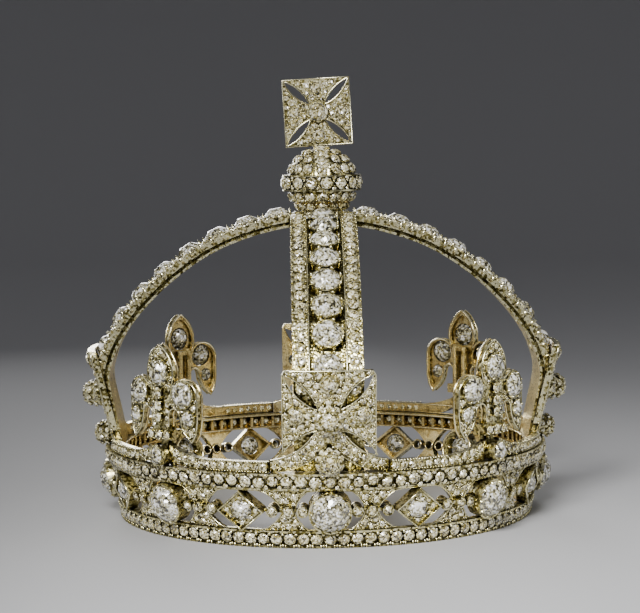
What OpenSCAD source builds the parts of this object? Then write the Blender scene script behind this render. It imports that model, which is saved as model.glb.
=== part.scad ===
// Small closed state crown: silver settings backed with gold, set all over with diamonds.
// The crown stands on z = 0, its axis is the Z axis, and its front faces -Y.
// Everything that repeats round the crown is drawn once at the front and turned into place.

/* [Band] */
// Outer radius of the band at the foot
foot_r = 45.5; // [45.4:0.1:45.6]
// How far the band leans outward for each millimetre of height
band_lean = 0.215; // [0.21:0.005:0.22]
// Inner radius of the base row
band_in = 43.7; // [43.6:0.1:43.7]
// Inner radius of the flat shelf on top of the band
shelf_in = 44.3; // [44.2:0.1:44.4]
// How far the rims of the stone rows stand out from the frieze
rim_step = 0.6; // [0.5:0.1:0.7]
// Height of the base row of stones with its rims
base_row_h = 3.6; // [3.6:0.1:3.7]
// Height of the upper row of stones with its rims
top_row_h = 3.5; // [3.4:0.1:3.5]
// Full height of the band
band_h = 15.7; // [15.6:0.1:15.8]
// Thickness of each thin rim beside a stone row
rim_t = 0.45; // [0.4:0.05:0.45]
// Number of stones in the base row
row_count = 104; // [104:1:104]
// Half length of the openings that hold a round collet
round_gap = 7.25; // [7.2:0.05:7.3]
// Half length of the openings that hold a lozenge box
lozenge_gap = 8.7; // [8.65:0.05:8.75]
// Outer radius of the round collets of the frieze
round_collet = 4.4; // [4.4:0.05:4.45]
// Half width of the lozenge boxes
lozenge_w = 5.2; // [5.15:0.05:5.25]
// Half height of the lozenge boxes
lozenge_h = 4.4; // [4.35:0.05:4.45]

/* [Garland] */
// Height of the ribbon where it lies on the band
ribbon_h = 2.3; // [2.2:0.1:2.4]
// Outer radius of the ribbon
ribbon_out = 48.2; // [48.1:0.1:48.3]

/* [Crosses] */
// Half width of each large cross
cross_w = 9.5; // [9.4:0.1:9.6]
// Height of the top of the large crosses
cross_top = 37; // [36.8:0.1:37.2]
// Height of the centre stone of the large crosses
cross_mid = 26.9; // [26.8:0.1:27]
// Radius of the large crosses' outer face at the top of the band
cross_r = 46.8; // [46.7:0.1:46.9]
// How far the crosses lean outward for each millimetre of height
cross_lean = 0.255; // [0.25:0.005:0.26]
// Thickness of the crosses' plates
plate_t = 1.3; // [1.2:0.1:1.4]

/* [Fleurs] */
// Height of the tip of each fleur-de-lis
fleur_top = 41; // [40.8:0.1:41.2]
// Half span of the side petals
fleur_w = 10.1; // [10:0.1:10.2]
// Radius of the fleurs' outer face
fleur_r = 48.9; // [48.8:0.1:49]
// Thickness of the fleurs' plates
fleur_t = 1.2; // [1.1:0.1:1.3]

/* [Arches] */
// Width of each arch
arch_w = 14.2; // [14:0.1:14.4]
// Width of each side rail of an arch
rail_w = 3.4; // [3.3:0.1:3.5]
// Thickness of an arch's strip
strip_t = 0.5; // [0.5:0.05:0.6]
// Height of the side rails above the underside
rail_h = 2.6; // [2.5:0.1:2.7]
// Number of large stones on each arch
arch_count = 8; // [8:1:8]
// Girdle diameter of the large stones
arch_stone = 5.9; // [5.8:0.1:5.9]
// Distance between the large stones along the arch
arch_pitch = 6.7; // [6.65:0.05:6.7]

/* [Orb and top cross] */
// Radius of the orb's metal
orb_r = 7.55; // [7.5:0.05:7.6]
// Height of the orb's centre
orb_z = 73; // [72.9:0.1:73.1]
// Outer radius of the orb's belt
belt_r = 8.7; // [8.6:0.1:8.8]
// Height of the orb's belt
belt_h = 3.5; // [3.4:0.1:3.6]
// Number of stones in the belt
belt_count = 16; // [16:1:16]
// Side of the square top cross
top_cross_w = 14.9; // [14.8:0.1:15]
// Height of the middle of the top cross
top_cross_z = 88.6; // [88.6:0.1:88.7]
// Lean of the top cross to the left, in degrees about the orb's centre
top_cross_tilt = 2.8; // [2.6:0.1:3]

/* [Stones] */
// Crown height of a small stone for each millimetre of its diameter
stone_crown = 0.17; // [0.16:0.01:0.17]
// Crown height of a large stone for each millimetre of its diameter
large_crown = 0.24; // [0.23:0.01:0.25]
// Depth of a stone below its girdle for each millimetre of its diameter
stone_depth = 0.43; // [0.42:0.01:0.43]
// Clearance between a stone and its setting
fit = 0.05; // [0.04:0.01:0.06]

/* [Hidden] */
$fn = 48;

silver = "#cfcabb";
gold = "#c39a4c";
diamond = "#e9eef4";

bay = 360 / 16;
frieze_lo = base_row_h;
frieze_hi = band_h - top_row_h;
frieze_mid = (frieze_lo + frieze_hi) / 2;
frieze_half = (frieze_hi - frieze_lo) / 2 - 0.1;
reach = 62;
rim_below = 0.05;

// Outer faces of the band at height z: rims, frieze wall, bottom of the stone channels
function rim_r(z) = foot_r + band_lean * z;
function wall_r(z) = rim_r(z) - rim_step;
function web_r(z) = rim_r(z) - channel_d;
wall_mid = wall_r(frieze_mid);
wall_tilt = atan(band_lean);
wall_t = 1.3;
web_t = 0.45;
channel_d = 1.45;
shelf_lip = 0.9;

// Frieze settings: how far out each rim stands from the wall, and where the small collets lie
round_stone = 7.9;
round_rim = 1.75;
lozenge_stone = 4.4;
lozenge_rim = 1.2;
small_collet = 1.2;
small_stone = 1.7;
small_rim = 0.9;
round_oval = 5.6;
lozenge_oval = 5.3;
strut = [0.7, 0.9];
strut_lap = 0.4;
box_wall = 0.6;
box_plate = 0.5;
bore_back = 3;
round_side_x = 5.5;
lozenge_side_x = 6.5;
upright_rim = 1.1;
upright_half = 1.15;
upright_turn = (round_gap + upright_half) / wall_mid * 180 / PI;

// Base row
row_stone = 2.55;
row_sink = 0.2;
notch = [0.5, 2.4, 2 * rim_t + 0.4];

// Garland: the low edge of its leaf ends as across and height, then its straight part
leaf_h = 6;
leaf_line = [[2, 2.4], [4, 1], [6, 0.3], [8, -0.1]];
leaf_arc_r = 25;
ribbon_foot = 12;
leaf_end_x = ribbon_foot + 1.5;
ribbon_t = 1.5;
ribbon_lean = 0.04;
ribbon_r = ribbon_out - ribbon_t / 2;
ribbon_start = asin(ribbon_foot / ribbon_r);
ribbon_end = 45 - asin((ribbon_foot + 0.15) / cross_r);
ribbon_len = ribbon_r * sin(ribbon_end - ribbon_start);

// Cross: circles of its legs as across, height, radius; its lower corner, throat and foot; its slits
leg_outer = [12, band_h + 14.55, 14.45];
leg_inner = [13.5, band_h + 14.6, 12.2];
cross_corner = [cross_w, 19.4];
cross_throat = [2.1, 24.6];
cross_foot = [[2.1, band_h + 0.1], [1.75, 20.9]];
corner_cut = [0.6, 1];
slit_top = [[2.1, 28.8], [cross_w - 0.4, cross_top - 0.85]];
slit_low = [[1.9, 24.65], [cross_w + 0.3, 19.2]];
slit_top_half = 1.2;
slit_low_half = 1.2;

// Settings of a cross: across, height, stone, how far the girdle stands off the plate, lean
cross_tilt = atan(cross_lean);
boss_flare = 0.25;
boss_sink = 2;
boss_reach = 6;
cross_stones_table = [
  [0, cross_mid, 3.4, 3.7, 0],
  [0, 34.4, 2.9, 0.9, cross_tilt],
  [-6.7, 27.9, 2.9, 0.9, cross_tilt],
  [6.7, 27.9, 2.9, 0.9, cross_tilt],
  [0, 18, 3.2, 3.5, 0]
];

// Settings of a fleur: across, height, stone, how far the girdle stands off the plate, depth of the bore
fleur_stones_table = [
  [0, 35.3, 5.2, 0.5, 3.5],
  [-6.5, 30.9, 5.2, 0.5, 3.5],
  [6.5, 30.9, 5.2, 0.5, 3.5],
  [-7.9, 26.0, 3.0, 0.4, 3.5],
  [7.9, 26.0, 3.0, 0.4, 3.5],
  [0, 17.95, 3.4, 1.6, 2.6]
];
petal_x = 6.5;
petal_z = 30.3;
petal_r = 3.6;
tip_petal = [6.1, 3.85];
tail_line = [[5.6, 26.4], [5.9, 24.8], [6.8, 23], [8.7, 21.2], [9.7, 23]];
tail_out_z = 25.6;
pocket_edge = 0.5;
pocket_floor = 0.6;
pocket_depth = 0.9;
pocket_lo = 32.8;
tail_mid = [8, 27.6];
tail_pocket = 0.76;
stem_half = 1.7;
leg_out = 2.5;
bar_half = 3.5;
bar_lo = 21.3;
bar_hi = 23.4;
bar_in = 46.3;
collet_wall = 0.35;
collet_foot = 0.8;
tube_r = 0.6;
tube_x = 1.3;
tube_y = 46.5;
tube_top = 32.4;
top_bridge = [2 * tube_x + 0.6, 2.2, 0.9];
foot_bridge = [2 * tube_x - 0.7, 1.6, 2.6];
fleur_foot_r = fleur_stones_table[5][2] / 2 + fit + collet_wall;

// Underside of an arch: radius, height
arch_line = [
  [0, 64.0],
  [7.15, 63.5],
  [15.5, 61.6],
  [24.2, 58.1],
  [32.8, 52.3],
  [40.3, 45.0],
  [44.9, 38.6],
  [46.9, 33.6],
  [47.4, 30.4],
  [46.8, 26.8],
  [46.0, 23.2],
  [45.2, 19.2],
  [44.55, 15.7],
  [44.4, 14.8]
];
arch_steps = 4;
arch_start = 6.25;
boss_half = 6.2;
first_stone = 9.6;
slot_h = 0.7;
slot_d = 1.0;
arch_girdle = 3.0;
collet_low = [2.6, 0.2];
collet_top = arch_girdle - rim_below;
cup_low = [1.85, 0.9];
culet_hole = 1.9;
mitre_gap = 0.15;
boss_under = arch_line[1][1];
boss_top = boss_under + 1.7;
seat_r = 3;
seat_z = boss_top + 0.8;
shelf_gap = 0.05;

belt_turn = -5;
belt_stone = 2.7;
belt_stone_depth = 0.3;
belt_rim = 0.3;
belt_step = 0.4;
hoop_w = 3.5;
hoop_in = orb_r + 0.25;
top_stone = 3.8;
top_plate = 1.3;
hoop_out = top_cross_z - top_cross_w / 2 - orb_z - shelf_gap - hoop_w / 2 * tan(top_cross_tilt);
top_slit = [2.2, top_cross_w / sqrt(2) - 0.4];
top_slit_half = 0.9;
top_collet_h = 1.6;

// One point of a smooth curve through four named points, at t between the middle two
function smooth(a, b, c, d, t) =
  0.5 * (2 * b + (c - a) * t + (2 * a - 5 * b + 4 * c - d) * t * t + (3 * b - a - 3 * c + d) * t * t * t);

// All points of a smooth curve through a table of points
function curve(p, steps) =
  let (n = len(p))
  concat(
    [for (i = [0 : n - 2], k = [0 : steps - 1])
      smooth(p[max(i - 1, 0)], p[i], p[i + 1], p[min(i + 2, n - 1)], k / steps)],
    [p[n - 1]]
  );

// Unit vector along a curve at point i
function along(p, i) =
  let (d = p[min(i + 1, len(p) - 1)] - p[max(i - 1, 0)]) d / norm(d);

// The curve moved outward by t
function moved(p, t) =
  [for (i = [0 : len(p) - 1]) let (d = along(p, i)) p[i] + t * [-d[1], d[0]]];

// Length of a curve up to point i
function run_to(p, i) = i == 0 ? 0 : run_to(p, i - 1) + norm(p[i] - p[i - 1]);

// Number of the curve's last point before the length s
function before(p, s, i = 0) = i + 1 >= len(p) - 1 || run_to(p, i + 1) > s ? i : before(p, s, i + 1);

// Point of the curve at the length s
function at_run(p, s) =
  let (i = before(p, s), d = p[i + 1] - p[i]) p[i] + d / norm(d) * (s - run_to(p, i));

// Direction of the curve at the length s, in degrees above the horizontal
function lean_at(p, s) =
  let (d = at_run(p, s + 0.8) - at_run(p, s - 0.8)) atan2(d[1], d[0]);

// Points of a ring of n corners
function ring(n, r, z, turn) =
  [for (i = [0 : n - 1]) let (a = turn + i * 360 / n) [r * cos(a), r * sin(a), z]];

arch_under = curve(arch_line, arch_steps);

// Turns what is drawn at the front to the angle a, counter-clockwise from above
module around(a) {
  rotate([0, 0, a]) children();
}

// Stands a drawing upright, x across and y up, between the distances r0 and r1 in front of the axis
module upright(r0, r1) {
  translate([0, -r0, 0]) rotate([90, 0, 0]) linear_extrude(r1 - r0) children();
}

// Puts a part at x across and z up on the front, r from the axis, facing outward
module facing(x, z, r, lean = 0) {
  around(asin(x / r)) translate([0, -r, z]) rotate([90 + lean, 0, 0]) children();
}

// Puts a part on the band's leaning wall, x across, at the middle of the frieze
module on_wall(x) {
  facing(x, frieze_mid, wall_mid, wall_tilt) children();
}

// Pointed oval, half length a along x and half width b
module vesica(a, b) {
  r = (a * a + b * b) / (2 * b);
  intersection() {
    translate([0, b - r]) circle(r, $fn = 96);
    translate([0, r - b]) circle(r, $fn = 96);
  }
}

// Pointed oval between two points
module vesica_between(p, q, b) {
  d = q - p;
  translate((p + q) / 2) rotate(atan2(d[1], d[0])) vesica(norm(d) / 2, b);
}

// Wall round the axis that leans outward: outer radius r at height z, slope s
module leaning_wall(r, z, s, t, lo, hi) {
  rotate_extrude($fn = 96) polygon([
    [r + s * (lo - z) - t, lo],
    [r + s * (lo - z), lo],
    [r + s * (hi - z), hi],
    [r + s * (hi - z) - t, hi]
  ]);
}

// Small stone: table, 16 crown facets and 8 pavilion facets, girdle at z = 0
module small_cut(d, depth = stone_depth) {
  pts = concat(ring(8, 0.28 * d, stone_crown * d, 22.5), ring(8, d / 2, 0, 0), [[0, 0, -depth * d]]);
  faces = concat(
    [[for (i = [7 : -1 : 0]) i]],
    [for (i = [0 : 7]) [i, (i + 1) % 8, 8 + (i + 1) % 8]],
    [for (i = [0 : 7]) [8 + i, i, 8 + (i + 1) % 8]],
    [for (i = [0 : 7]) [16, 8 + i, 8 + (i + 1) % 8]]
  );
  polyhedron(pts, faces);
}

// Large stone: full round brilliant with table, stars, kites and halves, girdle at z = 0
module brilliant(d) {
  g = d / 2;
  table = 0.24 * d;
  top = large_crown * d;
  deep = stone_depth * d;
  star = 0.38 * d;
  star_z = top * (g - star * cos(22.5)) / (g - table);
  low = 0.13 * d;
  low_z = -deep * (1 - low * cos(22.5) / g);
  pts = concat(
    ring(8, table, top, 0),
    ring(8, star, star_z, 22.5),
    ring(16, g, 0, 0),
    ring(8, low, low_z, 22.5),
    [[0, 0, -deep]]
  );
  faces = concat(
    [[for (i = [7 : -1 : 0]) i]],
    [for (i = [0 : 7]) [i, (i + 1) % 8, 8 + i]],
    [for (i = [0 : 7]) [i, 8 + i, 16 + 2 * i, 8 + (i + 7) % 8]],
    [for (i = [0 : 7]) [8 + i, 16 + 2 * i + 1, 16 + 2 * i]],
    [for (i = [0 : 7]) [8 + i, 16 + (2 * i + 2) % 16, 16 + 2 * i + 1]],
    [for (i = [0 : 7]) [32 + i, 16 + 2 * i, 16 + 2 * i + 1]],
    [for (i = [0 : 7]) [32 + i, 16 + 2 * i + 1, 16 + (2 * i + 2) % 16]],
    [for (i = [0 : 7]) [40, 32 + (i + 7) % 8, 16 + 2 * i, 32 + i]]
  );
  polyhedron(pts, faces);
}

// Band

// Section of the band: two stone channels, open to the front, and the frieze wall between them
module band_section() {
  low = [rim_t, base_row_h - rim_t];
  high = [frieze_hi + rim_t, band_h - rim_t];
  polygon([
    [band_in, 0],
    [rim_r(0), 0],
    [rim_r(low[0]), low[0]],
    [web_r(low[0]), low[0]],
    [web_r(low[1]), low[1]],
    [rim_r(low[1]), low[1]],
    [rim_r(frieze_lo), frieze_lo],
    [wall_r(frieze_lo), frieze_lo],
    [wall_r(frieze_hi), frieze_hi],
    [rim_r(frieze_hi), frieze_hi],
    [rim_r(high[0]), high[0]],
    [web_r(high[0]), high[0]],
    [web_r(high[1]), high[1]],
    [rim_r(high[1]), high[1]],
    [rim_r(band_h), band_h],
    [shelf_in, band_h],
    [shelf_in, high[1]],
    [web_r(high[1]) - web_t, high[1]],
    [web_r(high[0]) - web_t, high[0]],
    [shelf_in + shelf_lip, high[0]],
    [shelf_in + shelf_lip, frieze_hi],
    [wall_r(frieze_hi) - wall_t, frieze_hi],
    [wall_r(frieze_lo) - wall_t, frieze_lo],
    [band_in, frieze_lo],
    [band_in, low[1]],
    [web_r(low[1]) - web_t, low[1]],
    [web_r(low[0]) - web_t, low[0]],
    [band_in, low[0]]
  ]);
}

module lozenge(w, h) {
  polygon([[-w, 0], [0, -h], [w, 0], [0, h]]);
}

// Tube of a collet, from just behind the wall out to its rim
module collet_body(x, r, rim) {
  back = wall_t + 0.2;
  on_wall(x) translate([0, 0, -back]) cylinder(r = r, h = rim + back);
}

module collet_bore(x, r) {
  on_wall(x) translate([0, 0, -bore_back]) cylinder(r = r, h = 4 * bore_back);
}

// Opening of the frieze: a pointed oval cut off level with the rims above and below
module opening(half_length, half_width) {
  intersection() {
    vesica(half_length, half_width);
    square([2 * half_length, 2 * frieze_half], center = true);
  }
}

// Bar behind the settings of an opening, from tip to tip
module opening_strut(gap) {
  on_wall(0) translate([0, 0, -wall_t / 2])
    cube([2 * (gap + strut_lap), strut[0], strut[1]], center = true);
}

module round_bay() {
  opening_strut(round_gap);
  collet_body(0, round_collet, round_rim);
  for (s = [-1, 1]) collet_body(s * round_side_x, small_collet, small_rim);
}

module round_bay_bores() {
  collet_bore(0, round_stone / 2 + fit);
  for (s = [-1, 1]) collet_bore(s * round_side_x, small_stone / 2 + fit);
}

module lozenge_bay() {
  opening_strut(lozenge_gap);
  on_wall(0) translate([0, 0, -wall_t]) linear_extrude(lozenge_rim + wall_t) lozenge(lozenge_w, lozenge_h);
  for (s = [-1, 1]) collet_body(s * lozenge_side_x, small_collet, small_rim);
}

// Openings inside the settings of a lozenge bay: the box is hollow behind a plate with one bore
module lozenge_bay_bores() {
  on_wall(0) {
    translate([0, 0, -bore_back]) linear_extrude(bore_back)
      lozenge(lozenge_w - box_wall - 0.2, lozenge_h - box_wall - 0.1);
    translate([0, 0, lozenge_rim - box_plate]) linear_extrude(bore_back)
      lozenge(lozenge_w - box_wall, lozenge_h - box_wall + 0.1);
  }
  collet_bore(0, lozenge_stone / 2 + fit);
  for (s = [-1, 1]) collet_bore(s * lozenge_side_x, small_stone / 2 + fit);
}

module band() color(silver) {
  difference() {
    union() {
      difference() {
        rotate_extrude($fn = 96) band_section();
        for (i = [0 : 2 : 14]) around(i * bay) upright(band_in - 4, reach)
          translate([0, frieze_mid]) opening(round_gap, round_oval);
        for (i = [1 : 2 : 15]) around(i * bay) upright(band_in - 4, reach)
          translate([0, frieze_mid]) opening(lozenge_gap, lozenge_oval);
      }
      for (i = [0 : 2 : 14]) around(i * bay) round_bay();
      for (i = [1 : 2 : 15]) around(i * bay) lozenge_bay();
      for (i = [0 : 2 : 14], s = [-1, 1]) around(i * bay + s * upright_turn)
        collet_body(0, small_collet, upright_rim);
    }
    for (i = [0 : 2 : 14]) around(i * bay) round_bay_bores();
    for (i = [1 : 2 : 15]) around(i * bay) lozenge_bay_bores();
    for (i = [0 : 2 : 14], s = [-1, 1]) around(i * bay + s * upright_turn)
      collet_bore(0, small_stone / 2 + fit);
    for (i = [0 : row_count - 1]) around((i + 0.5) * 360 / row_count)
      translate([0, -rim_r(0), 0]) cube(notch, center = true);
  }
}

// Garland

// One leaf end beside a fleur's foot, drawn to the right of the fleur's middle
module leaf_end() {
  foot = band_h + shelf_gap;
  low = leaf_line[len(leaf_line) - 1][1];
  difference() {
    translate([0, foot]) polygon(concat(
      leaf_line,
      [[leaf_end_x, low], [leaf_end_x, leaf_h], [leaf_line[0][0], leaf_h]]
    ));
    translate([ribbon_foot + 0.5, foot + ribbon_h - 0.1 + leaf_arc_r]) circle(leaf_arc_r, $fn = 96);
    translate([0, fleur_stones_table[5][1]]) circle(fleur_foot_r + 0.15);
  }
}

module garland() color(silver) {
  intersection() {
    leaning_wall(ribbon_out, band_h, ribbon_lean, ribbon_t, band_h + shelf_gap, band_h + leaf_h);
    union() for (k = [0 : 3], s = [0, 1]) around(45 + 90 * k) mirror([s, 0, 0]) {
      upright(band_in - 6, reach) leaf_end();
      around(ribbon_start) upright(band_in - 6, reach)
        translate([0, band_h - 1]) square([ribbon_len, ribbon_h + shelf_gap + 1]);
    }
  }
}

// Crosses

// Legs of a cross: one curved ribbon from the band up to the middle, drawn to the right
module cross_leg() {
  intersection() {
    difference() {
      translate([leg_outer[0], leg_outer[1]]) circle(leg_outer[2], $fn = 96);
      translate([leg_inner[0], leg_inner[1]]) circle(leg_inner[2], $fn = 96);
    }
    translate([0, band_h + 0.1]) square([ribbon_foot - 0.1, cross_mid - band_h]);
  }
}

// Arms of a cross: top and two sides, with a pointed opening between them
module cross_arms() {
  difference() {
    polygon([
      [-cross_corner[0], cross_corner[1]],
      [-cross_throat[0], cross_throat[1]],
      cross_throat,
      cross_corner,
      [cross_w, cross_top - corner_cut[1]],
      [cross_w - corner_cut[0], cross_top],
      [-cross_w + corner_cut[0], cross_top],
      [-cross_w, cross_top - corner_cut[1]]
    ]);
    for (s = [0, 1]) mirror([s, 0, 0]) {
      vesica_between(slit_top[0], slit_top[1], slit_top_half);
      vesica_between(slit_low[0], slit_low[1], slit_low_half);
    }
  }
}

module cross_outline() {
  cross_arms();
  for (s = [0, 1]) mirror([s, 0, 0]) {
    cross_leg();
    polygon([[-0.1, cross_foot[0][1]], cross_foot[0], cross_foot[1], [-0.1, cross_foot[1][1]]]);
  }
}

// Outer face of a cross's plate at height z
function cross_face(z) = cross_r + cross_lean * (z - band_h);

// Puts a part at a row of the settings table, on the plate's outer face
module on_cross(c) {
  facing(c[0], c[1], cross_face(c[1]), c[4]) children();
}

// Collet of a cross, wider towards the plate
module cross_collet(c) {
  rim = c[2] / 2 + fit + collet_wall;
  rise = c[3] + boss_sink;
  translate([0, 0, -boss_sink]) cylinder(r1 = rim + boss_flare * rise, r2 = rim, h = rise - rim_below);
}

module cross() color(silver) {
  difference() {
    union() {
      intersection() {
        leaning_wall(cross_r, band_h, cross_lean, plate_t, band_h - 1, cross_top + 1);
        upright(band_in - 8, reach) cross_outline();
      }
      intersection() {
        leaning_wall(cross_r + boss_reach, band_h, cross_lean, boss_reach + collet_foot,
          band_h + 0.1, cross_top + 1);
        for (c = cross_stones_table) on_cross(c) cross_collet(c);
      }
    }
    for (c = cross_stones_table) on_cross(c) translate([0, 0, -2 * bore_back])
      cylinder(r = c[2] / 2 + fit, h = 5 * bore_back);
  }
}

module cross_stones() color(diamond) {
  for (c = cross_stones_table) on_cross(c) translate([0, 0, c[3]]) small_cut(c[2]);
}

// Fleurs

// Tail of a side petal, from the head down to its point
module petal_tail() {
  tail_in = tail_line[0][0];
  polygon(concat([[tail_in, petal_z]], tail_line, [[fleur_w, tail_out_z], [fleur_w, petal_z]]));
}

// Side petal that curls outward and down, drawn to the right
module side_petal() {
  tail_in = tail_line[0][0];
  difference() {
    union() {
      translate([petal_x, petal_z]) circle(petal_r);
      translate([stem_half - 0.3, bar_hi - 0.3]) square([leg_out - stem_half + 0.3, petal_z - bar_hi + 1.2]);
      translate([leg_out - 0.6, petal_z - 2]) square([2.2, 3]);
      petal_tail();
    }
    translate([(leg_out + tail_in) / 2, tail_line[0][1]]) circle((tail_in - leg_out) / 2);
  }
}

module fleur_outline() {
  translate([0, fleur_top - tip_petal[0]]) rotate(90) vesica(tip_petal[0], tip_petal[1]);
  translate([-stem_half, bar_hi - 0.3]) square([2 * stem_half, petal_z + 2 - bar_hi]);
  for (s = [0, 1]) mirror([s, 0, 0]) side_petal();
}

// Hollows behind the three petals, which leave a rim all round
module petal_pockets() {
  intersection() {
    translate([0, fleur_top - tip_petal[0]]) rotate(90)
      vesica(tip_petal[0] - 2 * pocket_edge, tip_petal[1] - pocket_edge);
    translate([-reach, pocket_lo]) square([2 * reach, reach]);
  }
  for (s = [0, 1]) mirror([s, 0, 0]) {
    translate([petal_x, petal_z]) circle(petal_r - pocket_edge);
    translate(tail_mid) scale(tail_pocket) translate(-tail_mid) petal_tail();
  }
}

// Puts a part at a row of the settings table, with its base at the girdle
module on_fleur(c) {
  facing(c[0], c[1], fleur_r + c[3]) children();
}

module fleur() color(silver) {
  foot = fleur_stones_table[5];
  difference() {
    union() {
      intersection() {
        leaning_wall(fleur_r, bar_lo, 0, fleur_t, bar_lo - 1, fleur_top + 1);
        upright(band_in - 8, reach) fleur_outline();
      }
      for (c = fleur_stones_table) on_fleur(c) translate([0, 0, -c[3] - collet_foot])
        cylinder(r = c[2] / 2 + fit + collet_wall, h = c[3] + collet_foot - rim_below);
      facing(foot[0], foot[1], bar_in) cylinder(r = fleur_foot_r, h = fleur_r - bar_in);
      for (s = [-1, 1]) translate([s * tube_x, -tube_y, band_h + shelf_gap])
        cylinder(r = tube_r, h = tube_top - band_h - shelf_gap);
      translate([0, -fleur_r + 1.5, tube_top - 0.5]) cube(top_bridge, center = true);
      intersection() {
        rotate_extrude($fn = 96) translate([bar_in, bar_lo])
          square([fleur_r + 0.1 - bar_in, bar_hi - bar_lo]);
        upright(band_in - 8, reach) translate([-bar_half, 0]) square([2 * bar_half, fleur_top]);
      }
      translate([0, -tube_y - 0.6, bar_lo - 1]) cube(foot_bridge, center = true);
    }
    intersection() {
      leaning_wall(fleur_r - pocket_floor, bar_lo, 0, pocket_depth, bar_lo - 1, fleur_top + 1);
      upright(band_in - 8, reach) petal_pockets();
    }
    for (c = fleur_stones_table) on_fleur(c) translate([0, 0, -c[4]])
      cylinder(r = c[2] / 2 + fit, h = 4 * bore_back);
  }
}

module fleur_stones() color(diamond) {
  for (c = fleur_stones_table) on_fleur(c) brilliant(c[2]);
}

// Arches

// Side view of a strip of the arch, between two heights above the underside
module arch_strip(from, to) {
  far = moved(arch_under, to);
  polygon(concat(moved(arch_under, from), [for (i = [len(far) - 1 : -1 : 0]) far[i]]));
}

// Extrudes a side view of the arch, radius across and height up, to the width w centred at x
module side_view(x, w) {
  translate([x + w / 2, 0, 0]) rotate([90, 0, -90]) linear_extrude(w) children();
}

// Puts a part on the arch's underside at the length s from the crown's axis, pointing outward
module on_arch(s) {
  p = at_run(arch_under, s);
  translate([0, -p[0], p[1]]) rotate([-lean_at(arch_under, s), 0, 0]) children();
}

function arch_place(k) = first_stone + k * arch_pitch;

module arch() color(silver) {
  slot_top = strip_t + slot_h;
  difference() {
    union() {
      side_view(0, arch_w) arch_strip(0, strip_t);
      for (s = [-1, 1]) {
        side_view(s * (arch_w - rail_w - slot_d) / 2, rail_w - slot_d)
          arch_strip(strip_t - 0.1, slot_top + 0.1);
        side_view(s * (arch_w - rail_w) / 2, rail_w) arch_strip(slot_top, rail_h);
      }
      for (k = [0 : arch_count - 1]) on_arch(arch_place(k)) translate([0, 0, collet_low[1]])
        cylinder(r1 = collet_low[0], r2 = arch_stone / 2 + collet_wall, h = collet_top - collet_low[1]);
    }
    for (k = [0 : arch_count - 1]) on_arch(arch_place(k)) {
      translate([0, 0, -1]) cylinder(r = culet_hole, h = 6);
      translate([0, 0, cup_low[1]])
        cylinder(r1 = cup_low[0], r2 = arch_stone / 2 + fit, h = arch_girdle - cup_low[1]);
    }
    translate([-reach, -arch_start, cross_top]) cube([2 * reach, reach, reach]);
    for (a = [-45, 45]) around(a) translate([-reach, -mitre_gap, cross_top])
      cube([2 * reach, reach, reach]);
    translate([-reach, -reach, 0]) cube([2 * reach, reach, band_h + shelf_gap]);
    leaning_wall(cross_r - plate_t - 0.15 + reach, band_h, cross_lean, reach, band_h - 2, cross_top + 0.6);
  }
}

module arch_stones() color(diamond) {
  for (k = [0 : arch_count - 1]) on_arch(arch_place(k)) translate([0, 0, arch_girdle]) brilliant(arch_stone);
}

module arch_boss() color(gold) {
  translate([-boss_half, -boss_half, boss_under])
    cube([2 * boss_half, 2 * boss_half, boss_top - boss_under]);
  translate([0, 0, boss_top - 0.1]) cylinder(r = seat_r, h = seat_z - boss_top + 0.1);
}

// Orb and top cross

module orb() color(silver) {
  difference() {
    translate([0, 0, orb_z]) sphere(r = orb_r, $fn = 64);
    translate([-orb_r, -orb_r, seat_z - orb_r + shelf_gap]) cube([2 * orb_r, 2 * orb_r, orb_r]);
  }
}

// Turns a part to the left about the orb's centre, like the top cross
module top_tilt() {
  translate([0, 0, orb_z]) rotate([0, -top_cross_tilt, 0]) children();
}

module orb_belt() color(gold) {
  belt_in = orb_r + fit;
  difference() {
    union() {
      rotate_extrude($fn = 96) translate([belt_in, orb_z - belt_h / 2])
        square([belt_r - belt_in - belt_step, belt_h]);
      for (z = [orb_z - belt_h / 2, orb_z + belt_h / 2 - belt_rim]) rotate_extrude($fn = 96)
        translate([belt_in, z]) square([belt_r - belt_in, belt_rim]);
      intersection() {
        translate([0, 0, orb_z]) rotate([0, 90, 0]) difference() {
          cylinder(r = hoop_out, h = hoop_w, center = true, $fn = 96);
          cylinder(r = hoop_in, h = 2 * hoop_w, center = true, $fn = 96);
        }
        translate([-hoop_out, -hoop_out, orb_z]) cube([2 * hoop_out, 2 * hoop_out, hoop_out + 1]);
      }
    }
    for (i = [0 : belt_count - 1]) around(belt_turn + (i + 0.5) * 360 / belt_count)
      translate([0, -orb_r + 1, orb_z]) rotate([90, 0, 0]) cylinder(r = belt_stone / 2 + fit, h = 4);
  }
}

// Stones of the top cross: across, up from the middle, diameter
top_stones_table = [
  [0, 0, top_stone],
  [0, 5.3, 2.5],
  [-5.3, 0, 2.6],
  [5.3, 0, 2.6],
  [0, -5.3, 2.8]
];

module top_cross() color(silver) {
  top_tilt() translate([0, 0, top_cross_z - orb_z]) difference() {
    union() {
      upright(-top_plate / 2, top_plate / 2) difference() {
        square(top_cross_w, center = true);
        for (a = [45 : 90 : 315]) rotate(a)
          vesica_between([top_slit[0], 0], [top_slit[1], 0], top_slit_half);
      }
      rotate([90, 0, 0]) cylinder(r = top_stone / 2 + fit + collet_wall, h = top_collet_h);
    }
    for (c = top_stones_table) translate([c[0], 2, c[1]]) rotate([90, 0, 0])
      cylinder(r = c[2] / 2 + fit, h = 6);
  }
}

module top_cross_stones() color(diamond) {
  top_tilt() translate([0, 0, top_cross_z - orb_z]) for (c = top_stones_table)
    translate([c[0], c[2] == top_stone ? -top_collet_h - rim_below : -top_plate / 2, c[1]])
      rotate([90, 0, 0]) small_cut(c[2]);
}

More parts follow.
